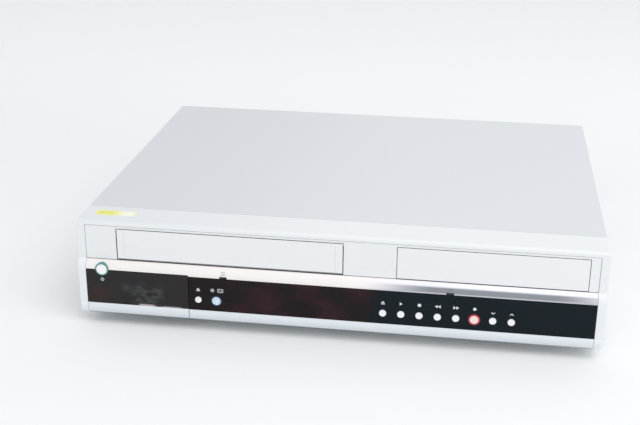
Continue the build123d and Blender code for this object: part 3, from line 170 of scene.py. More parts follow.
class Surface(Nodes):
    """The nodes of a material that holds one principled shader."""

    def __init__(self, name: str) -> None:
        """Start the material.

        Args:
            name: The material's name.
        """
        self.material = bpy.data.materials.new(name)
        self.material.use_nodes = True
        super().__init__(self.material.node_tree)
        self.shader = self.find("BSDF_PRINCIPLED")
        coordinates = self.add("ShaderNodeTexCoord")
        self.place = coordinates.outputs["Object"]
        self.facing = coordinates.outputs["Normal"]

    def along(self, source: Socket, axis: str) -> Socket:
        """Take one coordinate of a place or a direction.

        Args:
            source: The place or the direction.
            axis: X, Y or Z.

        Returns:
            The socket of the coordinate.
        """
        split = self.add("ShaderNodeSeparateXYZ")
        self.feed(split.inputs["Vector"], source)
        return split.outputs[axis]

    def noise(self, size_mm: float, detail: float = 2.0, stretch: Triple = (1.0, 1.0, 1.0)) -> Socket:
        """Add a noise of a real size.

        Args:
            size_mm: Rough size of its spots.
            detail: Its finer octaves.
            stretch: Factors along X, Y and Z that stretch it.

        Returns:
            The socket of the noise, 0 to 1.
        """
        mapping = self.add("ShaderNodeMapping")
        mapping.inputs["Scale"].default_value = stretch
        self.feed(mapping.inputs["Vector"], self.place)
        node = self.add("ShaderNodeTexNoise")
        self.feed(node.inputs["Scale"], 1.0 / (size_mm * MM))
        self.feed(node.inputs["Detail"], detail)
        self.feed(node.inputs["Vector"], mapping.outputs["Vector"])
        return node.outputs["Fac"]

    def cells(self, size_mm: float, **values: object) -> bpy.types.Node:
        """Add a pattern of cells of a real size.

        Args:
            size_mm: Rough size of a cell.
            **values: Attributes of the texture to set.

        Returns:
            The texture node.
        """
        node = self.add("ShaderNodeTexVoronoi", **values)
        self.feed(node.inputs["Scale"], 1.0 / (size_mm * MM))
        self.feed(node.inputs["Vector"], self.place)
        return node

    def cell_tone(self, size_mm: float, channel: str) -> Socket:
        """Give each cell of a pattern a value of its own.

        Args:
            size_mm: Rough size of a cell.
            channel: Red, Green or Blue, for different draws.

        Returns:
            The socket of the value, 0 to 1.
        """
        tone = self.add("ShaderNodeSeparateColor")
        self.feed(tone.inputs["Color"], self.cells(size_mm).outputs["Color"])
        return tone.outputs[channel]

    def blend(self, factor: Socket, first: Colour | Socket, second: Colour | Socket) -> Socket:
        """Mix two colours by a factor.

        Args:
            factor: 0 gives the first colour, 1 the second.
            first: A colour or a socket.
            second: A colour or a socket.

        Returns:
            The socket of the mixed colour.
        """
        node = self.add("ShaderNodeMix", data_type="RGBA")
        self.feed(node.inputs["Factor"], factor)
        self.feed(node.inputs[MIX_FIRST], first)
        self.feed(node.inputs[MIX_SECOND], second)
        return node.outputs[MIX_RESULT]

    def product(self, factors: Sequence[Socket]) -> Socket:
        """Multiply factors, so that the result is 1 only where all are.

        Args:
            factors: Sockets between 0 and 1, at least one.

        Returns:
            The socket of their product.
        """
        return reduce(lambda one, other: self.maths("MULTIPLY", one, other), factors)

    def band(self, axis: str, bounds_mm: Point2, soft_mm: float) -> Socket:
        """Mark a stretch of the object along one axis.

        Args:
            axis: X, Y or Z.
            bounds_mm: Where the stretch starts and ends.
            soft_mm: Width of its soft edges.

        Returns:
            A socket that is 1 inside the stretch and 0 outside.
        """
        place = self.along(self.place, axis)
        low, high = bounds_mm
        return self.product([self.spread(place, (0.0, 1.0), (outside * MM, inside * MM), "SMOOTHSTEP")
                             for outside, inside in ((low - soft_mm, low), (high + soft_mm, high))])

    def faces_front(self, least: float) -> Socket:
        """Mark what looks forwards or backwards.

        Args:
            least: Least share of the normal that lies along Y.

        Returns:
            A socket that is 1 there and 0 elsewhere.
        """
        return self.maths("GREATER_THAN", self.maths("ABSOLUTE", self.along(self.facing, "Y")), least)

    def bump(self, height: Socket, depth_mm: float) -> None:
        """Drive the shader's normal by a height.

        Args:
            height: Socket of the height, 0 to 1.
            depth_mm: Real depth of the relief.
        """
        node = self.add("ShaderNodeBump")
        self.feed(node.inputs["Strength"], 1.0)
        self.feed(node.inputs["Distance"], depth_mm * MM)
        self.feed(node.inputs["Height"], height)
        self.feed(self.shader.inputs["Normal"], node.outputs["Normal"])


# ---------------------------------------------------------------- kinds of finish
MOTTLE_DETAIL = 3.0
CLOUD_STRETCH = (1.0, 1.0, 1.6)
CLOUD_EDGE = (0.42, 0.62)  # the noise where a cloud starts and where it is full


@dataclass(frozen=True)
class Finish:
    """A surface with a mottled colour, a grain and an optional clear coat."""

    name: str
    colour: Colour
    roughness: float = 0.4
    metallic: float = 0.0
    mottle: float = 0.04
    mottle_mm: float = 9.0
    grain_mm: float = 0.5
    grain_depth_mm: float = 0.004
    rough_spread: float = 0.05
    coat: float = 0.0
    coat_roughness: float = 0.05
    specular: float = 0.5
    transmission: float = 0.0
    stretch: Triple = (1.0, 1.0, 1.0)

    def tones(self) -> tuple[Colour, Colour]:
        """Give the two ends of the mottle.

        Returns:
            Its darkest and its lightest colour.
        """
        dark = tuple(c * (1 - self.mottle) for c in self.colour)
        light = tuple(min(1.0, c * (1 + self.mottle)) for c in self.colour)
        return dark, light

    def colours(self, nodes: Surface) -> Socket:
        """Give the socket of the base colour.

        Args:
            nodes: The material being made.

        Returns:
            A colour socket.
        """
        return nodes.blend(nodes.noise(self.mottle_mm, MOTTLE_DETAIL, self.stretch), *self.tones())

    def material(self) -> bpy.types.Material:
        """Make the material, unless it is there already.

        Returns:
            The material.
        """
        name = f"finish_{self.name}"
        known = bpy.data.materials.get(name)
        if known:
            return known
        nodes = Surface(name)
        shader = nodes.shader.inputs
        shader["Metallic"].default_value = self.metallic
        shader["Coat Weight"].default_value = self.coat
        shader["Coat Roughness"].default_value = self.coat_roughness
        shader["Specular IOR Level"].default_value = self.specular
        shader["Transmission Weight"].default_value = self.transmission
        nodes.feed(shader["Base Color"], self.colours(nodes))
        grain = nodes.noise(self.grain_mm, stretch=self.stretch)
        low, high = self.roughness - self.rough_spread, self.roughness + self.rough_spread
        nodes.feed(shader["Roughness"], nodes.spread(grain, (max(low, 0.0), high)))
        nodes.bump(grain, self.grain_depth_mm)
        return nodes.material


@dataclass(frozen=True)
class Zone:
    """A stretch of a piece with a colour of its own.

    A range that is None doesn't bound the stretch. Clouds, where they have a size, break it up.
    """

    colour: Colour
    x_mm: Point2 | None = None
    y_mm: Point2 | None = None
    z_mm: Point2 | None = None
    soft_mm: Triple = (0.2, 0.2, 0.2)
    cloud_mm: float = 0.0

    def factor(self, nodes: Surface) -> Socket:
        """Give a socket that is 1 inside the stretch and 0 outside.

        Args:
            nodes: The material being made.

        Returns:
            The socket.
        """
        ranges = zip("XYZ", (self.x_mm, self.y_mm, self.z_mm), self.soft_mm)
        factors = [nodes.band(axis, bounds, soft) for axis, bounds, soft in ranges if bounds]
        if self.cloud_mm:
            clouds = nodes.noise(self.cloud_mm, MOTTLE_DETAIL, CLOUD_STRETCH)
            factors.append(nodes.spread(clouds, (0.0, 1.0), CLOUD_EDGE))
        return nodes.product(factors)


@dataclass(frozen=True)
class Zoned(Finish):
    """A finish with zones, and with an optional painted shade on the edges of a flat piece, which stands for
    the dark gaps round doors and openings.
    """

    zones: tuple[Zone, ...] = ()
    edge: Colour | None = None
    edge_from: float = 0.5

    def colours(self, nodes: Surface) -> Socket:
        """Give the base colour with the zones, and the painted gap shade where the surface looks aside."""
        colour = super().colours(nodes)
        for zone in self.zones:
            colour = nodes.blend(zone.factor(nodes), colour, zone.colour)
        if self.edge is None:
            return colour
        # The edge colour is painted shade for the dark gaps between parts.
        return nodes.blend(nodes.faces_front(self.edge_from), self.edge, colour)


@dataclass(frozen=True)
class Lacquer(Zoned):
    """The silver lacquer of the front, with its fine flake."""

    metallic: float = 0.05
    mottle: float = 0.012
    mottle_mm: float = 0.6
    grain_mm: float = 0.35
    grain_depth_mm: float = 0.0015


@dataclass(frozen=True)
class SocketGrid:
    """Sockets in a grid, with rings of colour about each centre, the widest first; the innermost dark ring is
    painted shade in the bore.
    """

    first_mm: Point2
    pitch_mm: Point2
    rings: tuple[tuple[float, Colour], ...]
    y_mm: Point2
    soft_mm: float = 0.1

    def distance(self, nodes: Surface) -> Socket:
        """Give how far a point is from the axis of the nearest socket.

        Args:
            nodes: The material being made.

        Returns:
            The socket of the distance, in metres.
        """
        squares = []
        for axis, first, pitch in zip("XZ", self.first_mm, self.pitch_mm):
            offset = nodes.maths("SUBTRACT", nodes.along(nodes.place, axis), first * MM)
            wrapped = nodes.maths("WRAP", offset, pitch * MM / 2, -pitch * MM / 2)
            squares.append(nodes.maths("MULTIPLY", wrapped, wrapped))
        return nodes.maths("SQRT", nodes.maths("ADD", *squares))


@dataclass(frozen=True)
class Socketed(Zoned):
    """A finish with zones and with rings about the centres of sockets."""

    grids: tuple[SocketGrid, ...] = ()

    def colours(self, nodes: Surface) -> Socket:
        """Give the colour with the rings of every socket."""
        colour = super().colours(nodes)
        for grid in self.grids:
            distance = grid.distance(nodes)
            place = nodes.band("Y", grid.y_mm, grid.soft_mm)
            for radius, ring in grid.rings:
                inside = nodes.maths("LESS_THAN", distance, radius * MM)
                colour = nodes.blend(nodes.product((inside, place)), colour, ring)
        return colour


@dataclass(frozen=True)
class Plated(Finish):
    """Zinc plated sheet, with the faint cells of its plating."""

    cell_mm: float = 7.0

    def colours(self, nodes: Surface) -> Socket:
        """Give the plating's colour, which changes from cell to cell."""
        return nodes.blend(nodes.cell_tone(self.cell_mm, "Red"), *self.tones())


@dataclass(frozen=True)
class Sparkle(Finish):
    """A pale translucent cap with bright flakes in it."""

    flake: Colour = (1.0, 1.0, 1.0)
    flake_mm: float = 0.9

    def colours(self, nodes: Surface) -> Socket:
        """Give the cap's colour, with brighter flakes."""
        return nodes.blend(nodes.cell_tone(self.flake_mm, "Green"), self.colour, self.flake)


@dataclass(frozen=True)
class CircuitBoard(Finish):
    """A coated board with brighter tracks under the coating."""

    track: Colour = (0.02, 0.2, 0.08)
    track_mm: float = 2.2
    track_share: float = 0.1

    def colours(self, nodes: Surface) -> Socket:
        """Give the board's colour, with tracks."""
        tracks = nodes.cells(self.track_mm, feature="DISTANCE_TO_EDGE", distance="MANHATTAN")
        line = nodes.maths("LESS_THAN", tracks.outputs["Distance"], self.track_share)
        return nodes.blend(line, super().colours(nodes), self.track)


@dataclass(frozen=True)
class RingPlastic(Finish):
    """The glossy tinted plastic of a ring round a button."""

    roughness: float = 0.15
    mottle: float = 0.1
    mottle_mm: float = 2.0
    grain_mm: float = 1.0
    grain_depth_mm: float = 0.001
    coat: float = 0.3


@dataclass(frozen=True)
class Print(Finish):
    """Matt printing ink, also used for painted shade lines."""

    roughness: float = 0.5
    mottle: float = 0.02
    grain_mm: float = 0.3
    grain_depth_mm: float = 0.002


# ---------------------------------------------------------------- finishes of this machine
LABEL_TONES = (  # the small label on the lip: each stripe's colour, its left and its right end
    ((238, 234, 132), -206.0, -190.0), ((240, 238, 168), -190.0, -186.0), ((243, 243, 206), -186.0, -182.0),
    ((244, 246, 230), -182.0, -174.0), ((240, 240, 190), -174.0, -172.0))
# Painted shade: the lip's top and the cover are painted darker towards the left end, where less light falls.
PAINTED_SHADE_LEFT_MM = (-400.0, -190.0)
BEZEL_LACQUER = Lacquer("bezel_lacquer", srgb(234, 237, 239), roughness=0.6, mottle=0.015, zones=(
    # painted shade: the top of the lip darker towards the left end
    Zone(srgb(225, 229, 232), x_mm=PAINTED_SHADE_LEFT_MM, z_mm=(92.0, 95.0), soft_mm=(220.0, 0.2, 1.0)),
    *(Zone(srgb(*tone), x_mm=(left, right), y_mm=(-157.5, -147.5), z_mm=(92.5, 95.0))
      for tone, left, right in LABEL_TONES),
    Zone(srgb(196, 190, 96), x_mm=(-203.5, -190.5), y_mm=(-153.4, -151.6), z_mm=(92.5, 95.0),
         soft_mm=(0.5, 0.6, 0.2), cloud_mm=1.6)))
# Painted shade: the fascia's aperture walls are dark for the gaps round the doors, and a grey line at its
# foot is painted shade in the crease above the strip.
FASCIA_LACQUER = Lacquer("fascia_lacquer", srgb(236, 237, 239), roughness=0.55, edge=srgb(58, 58, 62), zones=(
    Zone(srgb(128, 130, 134), z_mm=(50.0, 58.7), soft_mm=(0.2, 0.2, 0.15)),))
# Painted shade: the door edges are dark for the shadowed gaps round the doors.
DOOR_LACQUER = Lacquer("door_lacquer", srgb(237, 238, 240), roughness=0.45, edge=srgb(40, 40, 43))
# Painted shade: the lower trim and the flap's trim are darker towards the foot, for the shadow under the
# front and its reflection in the rounded underside.
TRIM_LACQUER = Lacquer("trim_lacquer", srgb(226, 231, 236), roughness=0.45, metallic=0.1, zones=(
    Zone(srgb(128, 134, 138), z_mm=(0.0, 9.6), soft_mm=(0.2, 0.2, 1.4)),))
SILVER_COVER = Zoned("silver_cover_paint", srgb(220, 224, 227), roughness=0.42, metallic=0.2, mottle=0.02,
                     mottle_mm=0.8, grain_mm=0.45, zones=(
    # painted shade: the cover darker towards the left end
    Zone(srgb(212, 216, 220), x_mm=PAINTED_SHADE_LEFT_MM, soft_mm=(260.0, 0.2, 0.2)),))
# Painted reflection: the lavender tint on the strip's right half and the grey bands low on its right are
# reflections of the room in the polished plating.
BRIGHT_STRIP = Zoned("bright_strip_plating_and_reflection", srgb(243, 238, 237), roughness=0.38, metallic=0.15, mottle=0.01,
                     grain_mm=0.8, grain_depth_mm=0.0005, rough_spread=0.03, zones=(
    Zone(srgb(236, 234, 241), x_mm=(70.0, 300.0), soft_mm=(60.0, 0.2, 0.2)),
    Zone(srgb(136, 140, 148), x_mm=(82.0, 176.0), z_mm=(40.0, 54.2), soft_mm=(60.0, 0.2, 1.6)),
    Zone(srgb(196, 196, 204), x_mm=(60.0, 300.0), z_mm=(40.0, 50.2), soft_mm=(50.0, 0.2, 0.8))))
SMOKED = Zoned("smoked_panel", srgb(6, 20, 27), roughness=0.05, mottle=0.05, grain_mm=6.0,
               grain_depth_mm=0.0004, rough_spread=0.01, specular=0.17, zones=(
    Zone(srgb(24, 17, 19), x_mm=(-130.0, 30.0)),
    Zone(srgb(44, 22, 29), x_mm=(-80.0, 26.0), soft_mm=(14.0, 0.2, 0.2), cloud_mm=26.0)))
FLAP_SMOKED = Zoned("smoked_flap", srgb(30, 26, 27), roughness=0.08, mottle=0.08, grain_mm=6.0,
                    grain_depth_mm=0.0004, rough_spread=0.02, specular=0.3, zones=(
    Zone(srgb(46, 26, 26), x_mm=(-202.0, -198.0), z_mm=(27.0, 29.0), soft_mm=(14.0, 0.2, 9.0)),
    # painted reflections on the glossy flap: the clouded bluish patch and the clouded grey-green patch
    Zone(srgb(56, 60, 68), x_mm=(-174.0, -166.0), z_mm=(35.0, 38.0), soft_mm=(9.0, 0.2, 6.0), cloud_mm=9.0),
    Zone(srgb(66, 68, 66), x_mm=(-164.0, -152.0), z_mm=(26.0, 33.0), soft_mm=(12.0, 0.2, 8.0), cloud_mm=8.0),
    Zone(srgb(186, 168, 170), x_mm=(-163.0, -155.0), z_mm=(18.0, 20.4), soft_mm=(5.0, 0.2, 1.2)),
    Zone(srgb(150, 140, 142), x_mm=(-143.0, -132.0), z_mm=(18.0, 20.0), soft_mm=(5.0, 0.2, 1.0))))
LENS = Finish("indicator_lens", srgb(22, 24, 30), roughness=0.12, grain_mm=1.5, grain_depth_mm=0.0005)
WHITE_CAP = Finish("white_cap", srgb(246, 246, 248), roughness=0.25, mottle=0.01, grain_mm=0.3,
                   grain_depth_mm=0.001, coat=0.3)
BLUE_CAP = Sparkle("pale_blue_cap", srgb(176, 206, 232), roughness=0.15, mottle=0.05, grain_mm=0.7,
                   grain_depth_mm=0.002, coat=0.8, flake=srgb(236, 245, 252))
ROSE_CAP = Finish("rose_cap", srgb(250, 226, 220), roughness=0.25, mottle=0.02, grain_mm=0.3,
                  grain_depth_mm=0.001, coat=0.3)
TEAL_RING = RingPlastic("teal_ring", srgb(62, 146, 138), mottle=0.2, coat=0.4, transmission=0.1)
BLUE_RING = RingPlastic("blue_ring", srgb(34, 56, 92))
RED_RING = RingPlastic("red_ring", srgb(196, 52, 72), mottle=0.12)
PLATED_STEEL = Plated("zinc_plated_sheet", srgb(176, 180, 184), roughness=0.34, metallic=0.85, mottle=0.06,
                      grain_mm=0.6, grain_depth_mm=0.002)
REAR_STEEL = Plated("rear_panel_sheet", srgb(178, 182, 185), metallic=0.7, grain_mm=0.6, grain_depth_mm=0.002)
SCREW_STEEL = Finish("screw_steel", srgb(150, 152, 156), roughness=0.28, metallic=1.0, grain_mm=0.3,
                     grain_depth_mm=0.002)
# Black plastic; also the painted shade in the screws' cross recesses.
BLACK_MOULDING_AND_RECESS_SHADE = Finish("black_moulding_and_recess_shade", srgb(26, 26, 28), roughness=0.5, mottle=0.08, grain_mm=0.4,
                        grain_depth_mm=0.01)
DARK_TRAY = Finish("tray_moulding", srgb(38, 39, 42), roughness=0.42, mottle=0.06, grain_mm=0.35,
                   grain_depth_mm=0.008)
GREY_MOULDING = Finish("grey_moulding", srgb(128, 130, 134), roughness=0.45, grain_mm=0.4,
                       grain_depth_mm=0.006)
WHITE_MOULDING = Finish("white_moulding", srgb(226, 226, 220), roughness=0.38, grain_mm=0.4)
FOOT_RUBBER = Finish("foot_rubber", srgb(30, 30, 31), roughness=0.8, mottle=0.1, grain_depth_mm=0.02,
                     specular=0.3)
BOARD = CircuitBoard("circuit_board", srgb(28, 84, 52), roughness=0.3, coat=0.5, grain_mm=1.2,
                     grain_depth_mm=0.01, track=srgb(52, 122, 74))
TURNED_METAL = Finish("turned_metal", srgb(204, 206, 210), roughness=0.22, metallic=1.0, mottle=0.03,
                      grain_mm=1.4, grain_depth_mm=0.002, stretch=(0.2, 0.2, 8.0))
DISPLAY_GLASS = Finish("display_glass", srgb(34, 40, 40), roughness=0.08, coat=0.8, grain_mm=3.0,
                       grain_depth_mm=0.0005)
LABEL_FOIL = Finish("rating_label", srgb(206, 208, 210), roughness=0.35, metallic=0.4, mottle=0.01,
                    grain_depth_mm=0.001)
PRINT_WHITE = Print("printed_white", srgb(226, 228, 230))
MARK_GREY = Print("strip_print", srgb(112, 114, 120))
# Painted shade: the two faint grey lines on the cassette door stand for the shade in its grooves.
GROOVE_SHADE = Print("door_groove_shade", srgb(212, 214, 217), roughness=0.6, mottle=0.01, grain_depth_mm=0.001)
# Painted shadow in the wider gap under the cassette door.
FOOT_SHADE = Print("door_foot", srgb(72, 72, 76), roughness=0.6, grain_depth_mm=0.001)
# Painted shade: the dark innermost ring of each socket stands for the shade inside its bore.
BORE_SHADE = srgb(8, 8, 9)
YELLOW, WHITE, RED = srgb(226, 186, 40), srgb(232, 232, 228), srgb(200, 38, 40)
LINE_RINGS = ((4.6, srgb(186, 188, 192)), (3.15, srgb(226, 226, 220)), (1.9, srgb(196, 170, 96)), (1.5, BORE_SHADE))
AERIAL_RINGS = ((3.3, srgb(228, 228, 222)), (1.0, BORE_SHADE))
FRONT_COLLARS_Y_MM = (-155.0, -150.0)
LINE_SOCKETS = Socketed("line_sockets", srgb(24, 24, 26), roughness=0.3, grain_mm=0.3, grain_depth_mm=0.002,
                        grids=(
    SocketGrid((-170.5, 32.8), (15.0, 40.0), LINE_RINGS, (-166.0, -155.2)),
    SocketGrid((44.0, 30.0), (14.0, 14.0), LINE_RINGS, (168.95, 180.0))), zones=(
    Zone(YELLOW, x_mm=(-178.0, -163.2), y_mm=FRONT_COLLARS_Y_MM),
    Zone(WHITE, x_mm=(-162.8, -148.2), y_mm=FRONT_COLLARS_Y_MM),
    Zone(RED, x_mm=(-147.8, -133.0), y_mm=FRONT_COLLARS_Y_MM)))
COLLARS = tuple(Finish(f"{name}_collar", colour, grain_mm=0.3, grain_depth_mm=0.002)
                for name, colour in (("yellow", YELLOW), ("white", WHITE), ("red", RED)))
TUNER_CAN = Socketed("tuner_can", srgb(190, 190, 188), roughness=0.3, metallic=0.6, mottle=0.05, grids=(
    SocketGrid((132.0, 30.0), (60.0, 22.0), AERIAL_RINGS, (169.0, 180.0)),))


def dress(finish: Finish, names: Iterable[str]) -> None:
    """Give frame nodes a finish, through the slots of their objects.

    Args:
        finish: The finish.
        names: The nodes that get it.
    """
    material = finish.material()
    for name in names:
        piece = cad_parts[name]
        if not piece.material_slots:
            piece.data.materials.append(material)
        for index in range(len(piece.material_slots)):
            piece.material_slots[index].material = material
        LOG.info("%s gets %s", name, finish.name)


# ---------------------------------------------------------------- printed marks and painted shade lines
Outline = list[Point2]


class Mark(Enum):
    """The plain marks that stand over the buttons."""

    OPEN = "open"
    PLAY = "play"
    STOP = "stop"
    REWIND = "rewind"
    FORWARD = "forward"
    RECORD = "record"
    DOWN = "down"
    UP = "up"
    POWER = "power"
    DISC = "disc"
    CASSETTE = "cassette"


def ring_of(centre: Point2, radius: float, count: int = 28) -> Outline:
    """Give the points of a circle.

    Args:
        centre: Its centre.
        radius: Its radius.
        count: How many points it has.

    Returns:
        The points, in order.
    """
    turns = [2 * math.pi * i / count for i in range(count)]
    return [(centre[0] + radius * math.cos(t), centre[1] + radius * math.sin(t)) for t in turns]


def arc_band(radius: float, width: float, start: float, end: float, count: int = 24) -> list[Outline]:
    """Give the four-sided pieces of a bent stripe round the origin.

    Args:
        radius: Middle radius.
        width: Width of the stripe.
        start: First angle, in degrees.
        end: Last angle, in degrees.
        count: How many pieces it has.

    Returns:
        One outline a piece.
    """
    def at(r: float, step: int) -> Point2:
        """A point on the arc of radius r."""
        turn = math.radians(start + (end - start) * step / count)
        return r * math.cos(turn), r * math.sin(turn)

    inner, outer = radius - width / 2, radius + width / 2
    return [[at(inner, i), at(outer, i), at(outer, i + 1), at(inner, i + 1)] for i in range(count)]


def stroke(points: Sequence[Point2], width: float) -> list[Outline]:
    """Give the pieces of a stroke along straight runs.

    Args:
        points: The corners of the stroke.
        width: Its width.

    Returns:
        One four-sided outline a run.
    """
    runs = []
    for (x0, z0), (x1, z1) in zip(points, points[1:]):
        length = math.hypot(x1 - x0, z1 - z0)
        side_x, side_z = -(z1 - z0) / length * width / 2, (x1 - x0) / length * width / 2
        runs.append([(x0 + side_x, z0 + side_z), (x0 - side_x, z0 - side_z),
                     (x1 - side_x, z1 - side_z), (x1 + side_x, z1 + side_z)])
    return runs


def mark_outlines(mark: Mark, size: float) -> list[Outline]:
    """Give the outlines of a mark about its centre, with every length a share of its height.

    Args:
        mark: Which mark.
        size: Its height in millimetres.

    Returns:
        Closed outlines in the plane of the front.
    """
    half = size / 2
    pointer = [(-half * 0.8, half), (-half * 0.8, -half), (half * 0.8, 0.0)]
    if mark is Mark.OPEN:
        wide, foot = half * 1.1, -half * 0.55
        arrow = [(-wide, -half * 0.25), (wide, -half * 0.25), (0.0, half)]
        return [arrow, [(-wide, -half), (wide, -half), (wide, foot), (-wide, foot)]]
    if mark is Mark.PLAY:
        return [pointer]
    if mark is Mark.STOP:
        edge = half * 0.9
        return [[(-edge, -edge), (edge, -edge), (edge, edge), (-edge, edge)]]
    if mark in (Mark.REWIND, Mark.FORWARD):
        way = -1 if mark is Mark.REWIND else 1
        return [[(way * x + shift, z) for x, z in pointer] for shift in (-half * 0.85, half * 0.85)]
    if mark is Mark.RECORD:
        return [ring_of((0.0, 0.0), half * 0.95)]
    if mark in (Mark.DOWN, Mark.UP):
        tip = -half * 0.5 if mark is Mark.DOWN else half * 0.5
        return stroke([(-half, -tip), (0.0, tip), (half, -tip)], size * 0.22)
    if mark is Mark.POWER:
        stem = stroke([(0.0, half * 0.1), (0.0, half * 1.15)], size * 0.16)
        return arc_band(half * 0.85, size * 0.16, 125.0, 415.0) + stem
    if mark is Mark.DISC:
        rim = arc_band(half * 0.9, size * 0.14, 0.0, 360.0)
        return rim + arc_band(half * 0.3, size * 0.14, 0.0, 360.0, 14)
    wide = half * 1.5
    shell = stroke([(-wide, -half), (wide, -half), (wide, half), (-wide, half), (-wide, -half)], size * 0.13)
    return shell + [ring_of((way * wide * 0.45, 0.0), half * 0.32, 14) for way in (-1, 1)]


class Side(Enum):
    """The side that a mark is seen from; its value is the side's direction along Y."""

    FRONT = -1
    BACK = 1


class Face:
    """The front or back of a frame node, found by rays, to lay marks on."""

    def __init__(self, node: str, side: Side = Side.FRONT) -> None:
        """Take the node's mesh.

        Args:
            node: Name of the node.
            side: The side that the rays come from.
        """
        self.side = side
        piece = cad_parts[node]
        points = [piece.matrix_world @ vertex.co for vertex in piece.data.vertices]
        self.tree = BVHTree.FromPolygons(points, [tuple(face.vertices) for face in piece.data.polygons])

    def depth_mm(self, x_mm: float, z_mm: float) -> float:
        """Give where the face lies behind a point of the view.

        Args:
            x_mm: Place across the front.
            z_mm: Height.

        Returns:
            The face's Y in millimetres.
        """
        start = Vector((x_mm * MM, self.side.value, z_mm * MM))
        hit = self.tree.ray_cast(start, Vector((0.0, -self.side.value, 0.0)))
        return hit[0].y / MM


@dataclass
class Printed:
    """A printed mark or a painted shade line, a thin film on the face that carries it."""

    name: str
    outlines: list[Outline]
    x_mm: float
    z_mm: float
    face: Face
    finish: Finish
    body: str
    slot: str
    film_mm: float = 0.05
    lift_mm: float = 0.0

    def build(self) -> bpy.types.Object:
        """Make the film and put it on its face.

        Returns:
            The new piece.
        """
        mesh = bmesh.new()
        for outline in self.outlines:
            front, back = [], []
            for x, z in ((self.x_mm + x, self.z_mm + z) for x, z in outline):
                y = self.face.depth_mm(x, z) + self.face.side.value * self.lift_mm
                front.append(mesh.verts.new((x * MM, (y - self.film_mm) * MM, z * MM)))
                back.append(mesh.verts.new((x * MM, (y + self.film_mm) * MM, z * MM)))
            mesh.faces.new(front)
            mesh.faces.new(list(reversed(back)))
            for i in range(len(front)):
                j = (i + 1) % len(front)
                mesh.faces.new((front[j], front[i], back[i], back[j]))
        bmesh.ops.recalc_face_normals(mesh, faces=mesh.faces)
        return finished_piece(mesh, self.name, self.finish, self.body)


@dataclass
class Turned:
    """A round piece on a face, turned about an axis along Y."""

    name: str
    profile: tuple[Point2, ...]
    x_mm: float
    z_mm: float
    face: Face
    finish: Finish
    slot: str
    body: str = "case"
    count: int = 24
    probe_mm: float = 0.0
    hollow: bool = False

    def build(self) -> bpy.types.Object:
        """Turn the profile, whose points are a radius and a height above the face.

        The face is measured probe_mm above the axis. A hollow piece is closed through its profile.

        Returns:
            The new piece.
        """
        mesh = bmesh.new()
        base = self.face.depth_mm(self.x_mm, self.z_mm + self.probe_mm)
        rings = []
        for radius, height in self.profile:
            y = (base + self.face.side.value * height) * MM
            rings.append([mesh.verts.new((x * MM, y, z * MM))
                          for x, z in ring_of((self.x_mm, self.z_mm), radius, self.count)])
        for inner, outer in zip(rings, rings[1:] + rings[:1] if self.hollow else rings[1:]):
            for i in range(self.count):
                j = (i + 1) % self.count
                mesh.faces.new((inner[i], inner[j], outer[j], outer[i]))
        if not self.hollow:
            mesh.faces.new(rings[0])
            mesh.faces.new(rings[-1])
        bmesh.ops.recalc_face_normals(mesh, faces=mesh.faces)
        return finished_piece(mesh, self.name, self.finish, self.body)


def finished_piece(mesh: bmesh.types.BMesh, name: str, finish: Finish, body: str) -> bpy.types.Object:
    """Turn mesh data into a piece that rides on a body.

    Args:
        mesh: The mesh data, which is freed.
        name: The piece's name.
        finish: Its finish.
        body: The body it rides on.

    Returns:
        The new piece.
    """
    data = bpy.data.meshes.new(name)
    mesh.to_mesh(data)
    mesh.free()
    piece = bpy.data.objects.new(name, data)
    bpy.context.scene.collection.objects.link(piece)
    data.materials.append(finish.material())
    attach(piece, body)
    LOG.info("%s rides on %s", name, body)
    return piece


# ---------------------------------------------------------------- sub-assemblies
class SubAssembly:
    """A group of frame nodes that belong together, and the pieces that are added to them."""

    def dress(self) -> None:
        """Give the group's nodes their finishes."""
        raise NotImplementedError

    def build(self) -> None:
        """Add the pieces that the frame doesn't hold, if the group has any."""


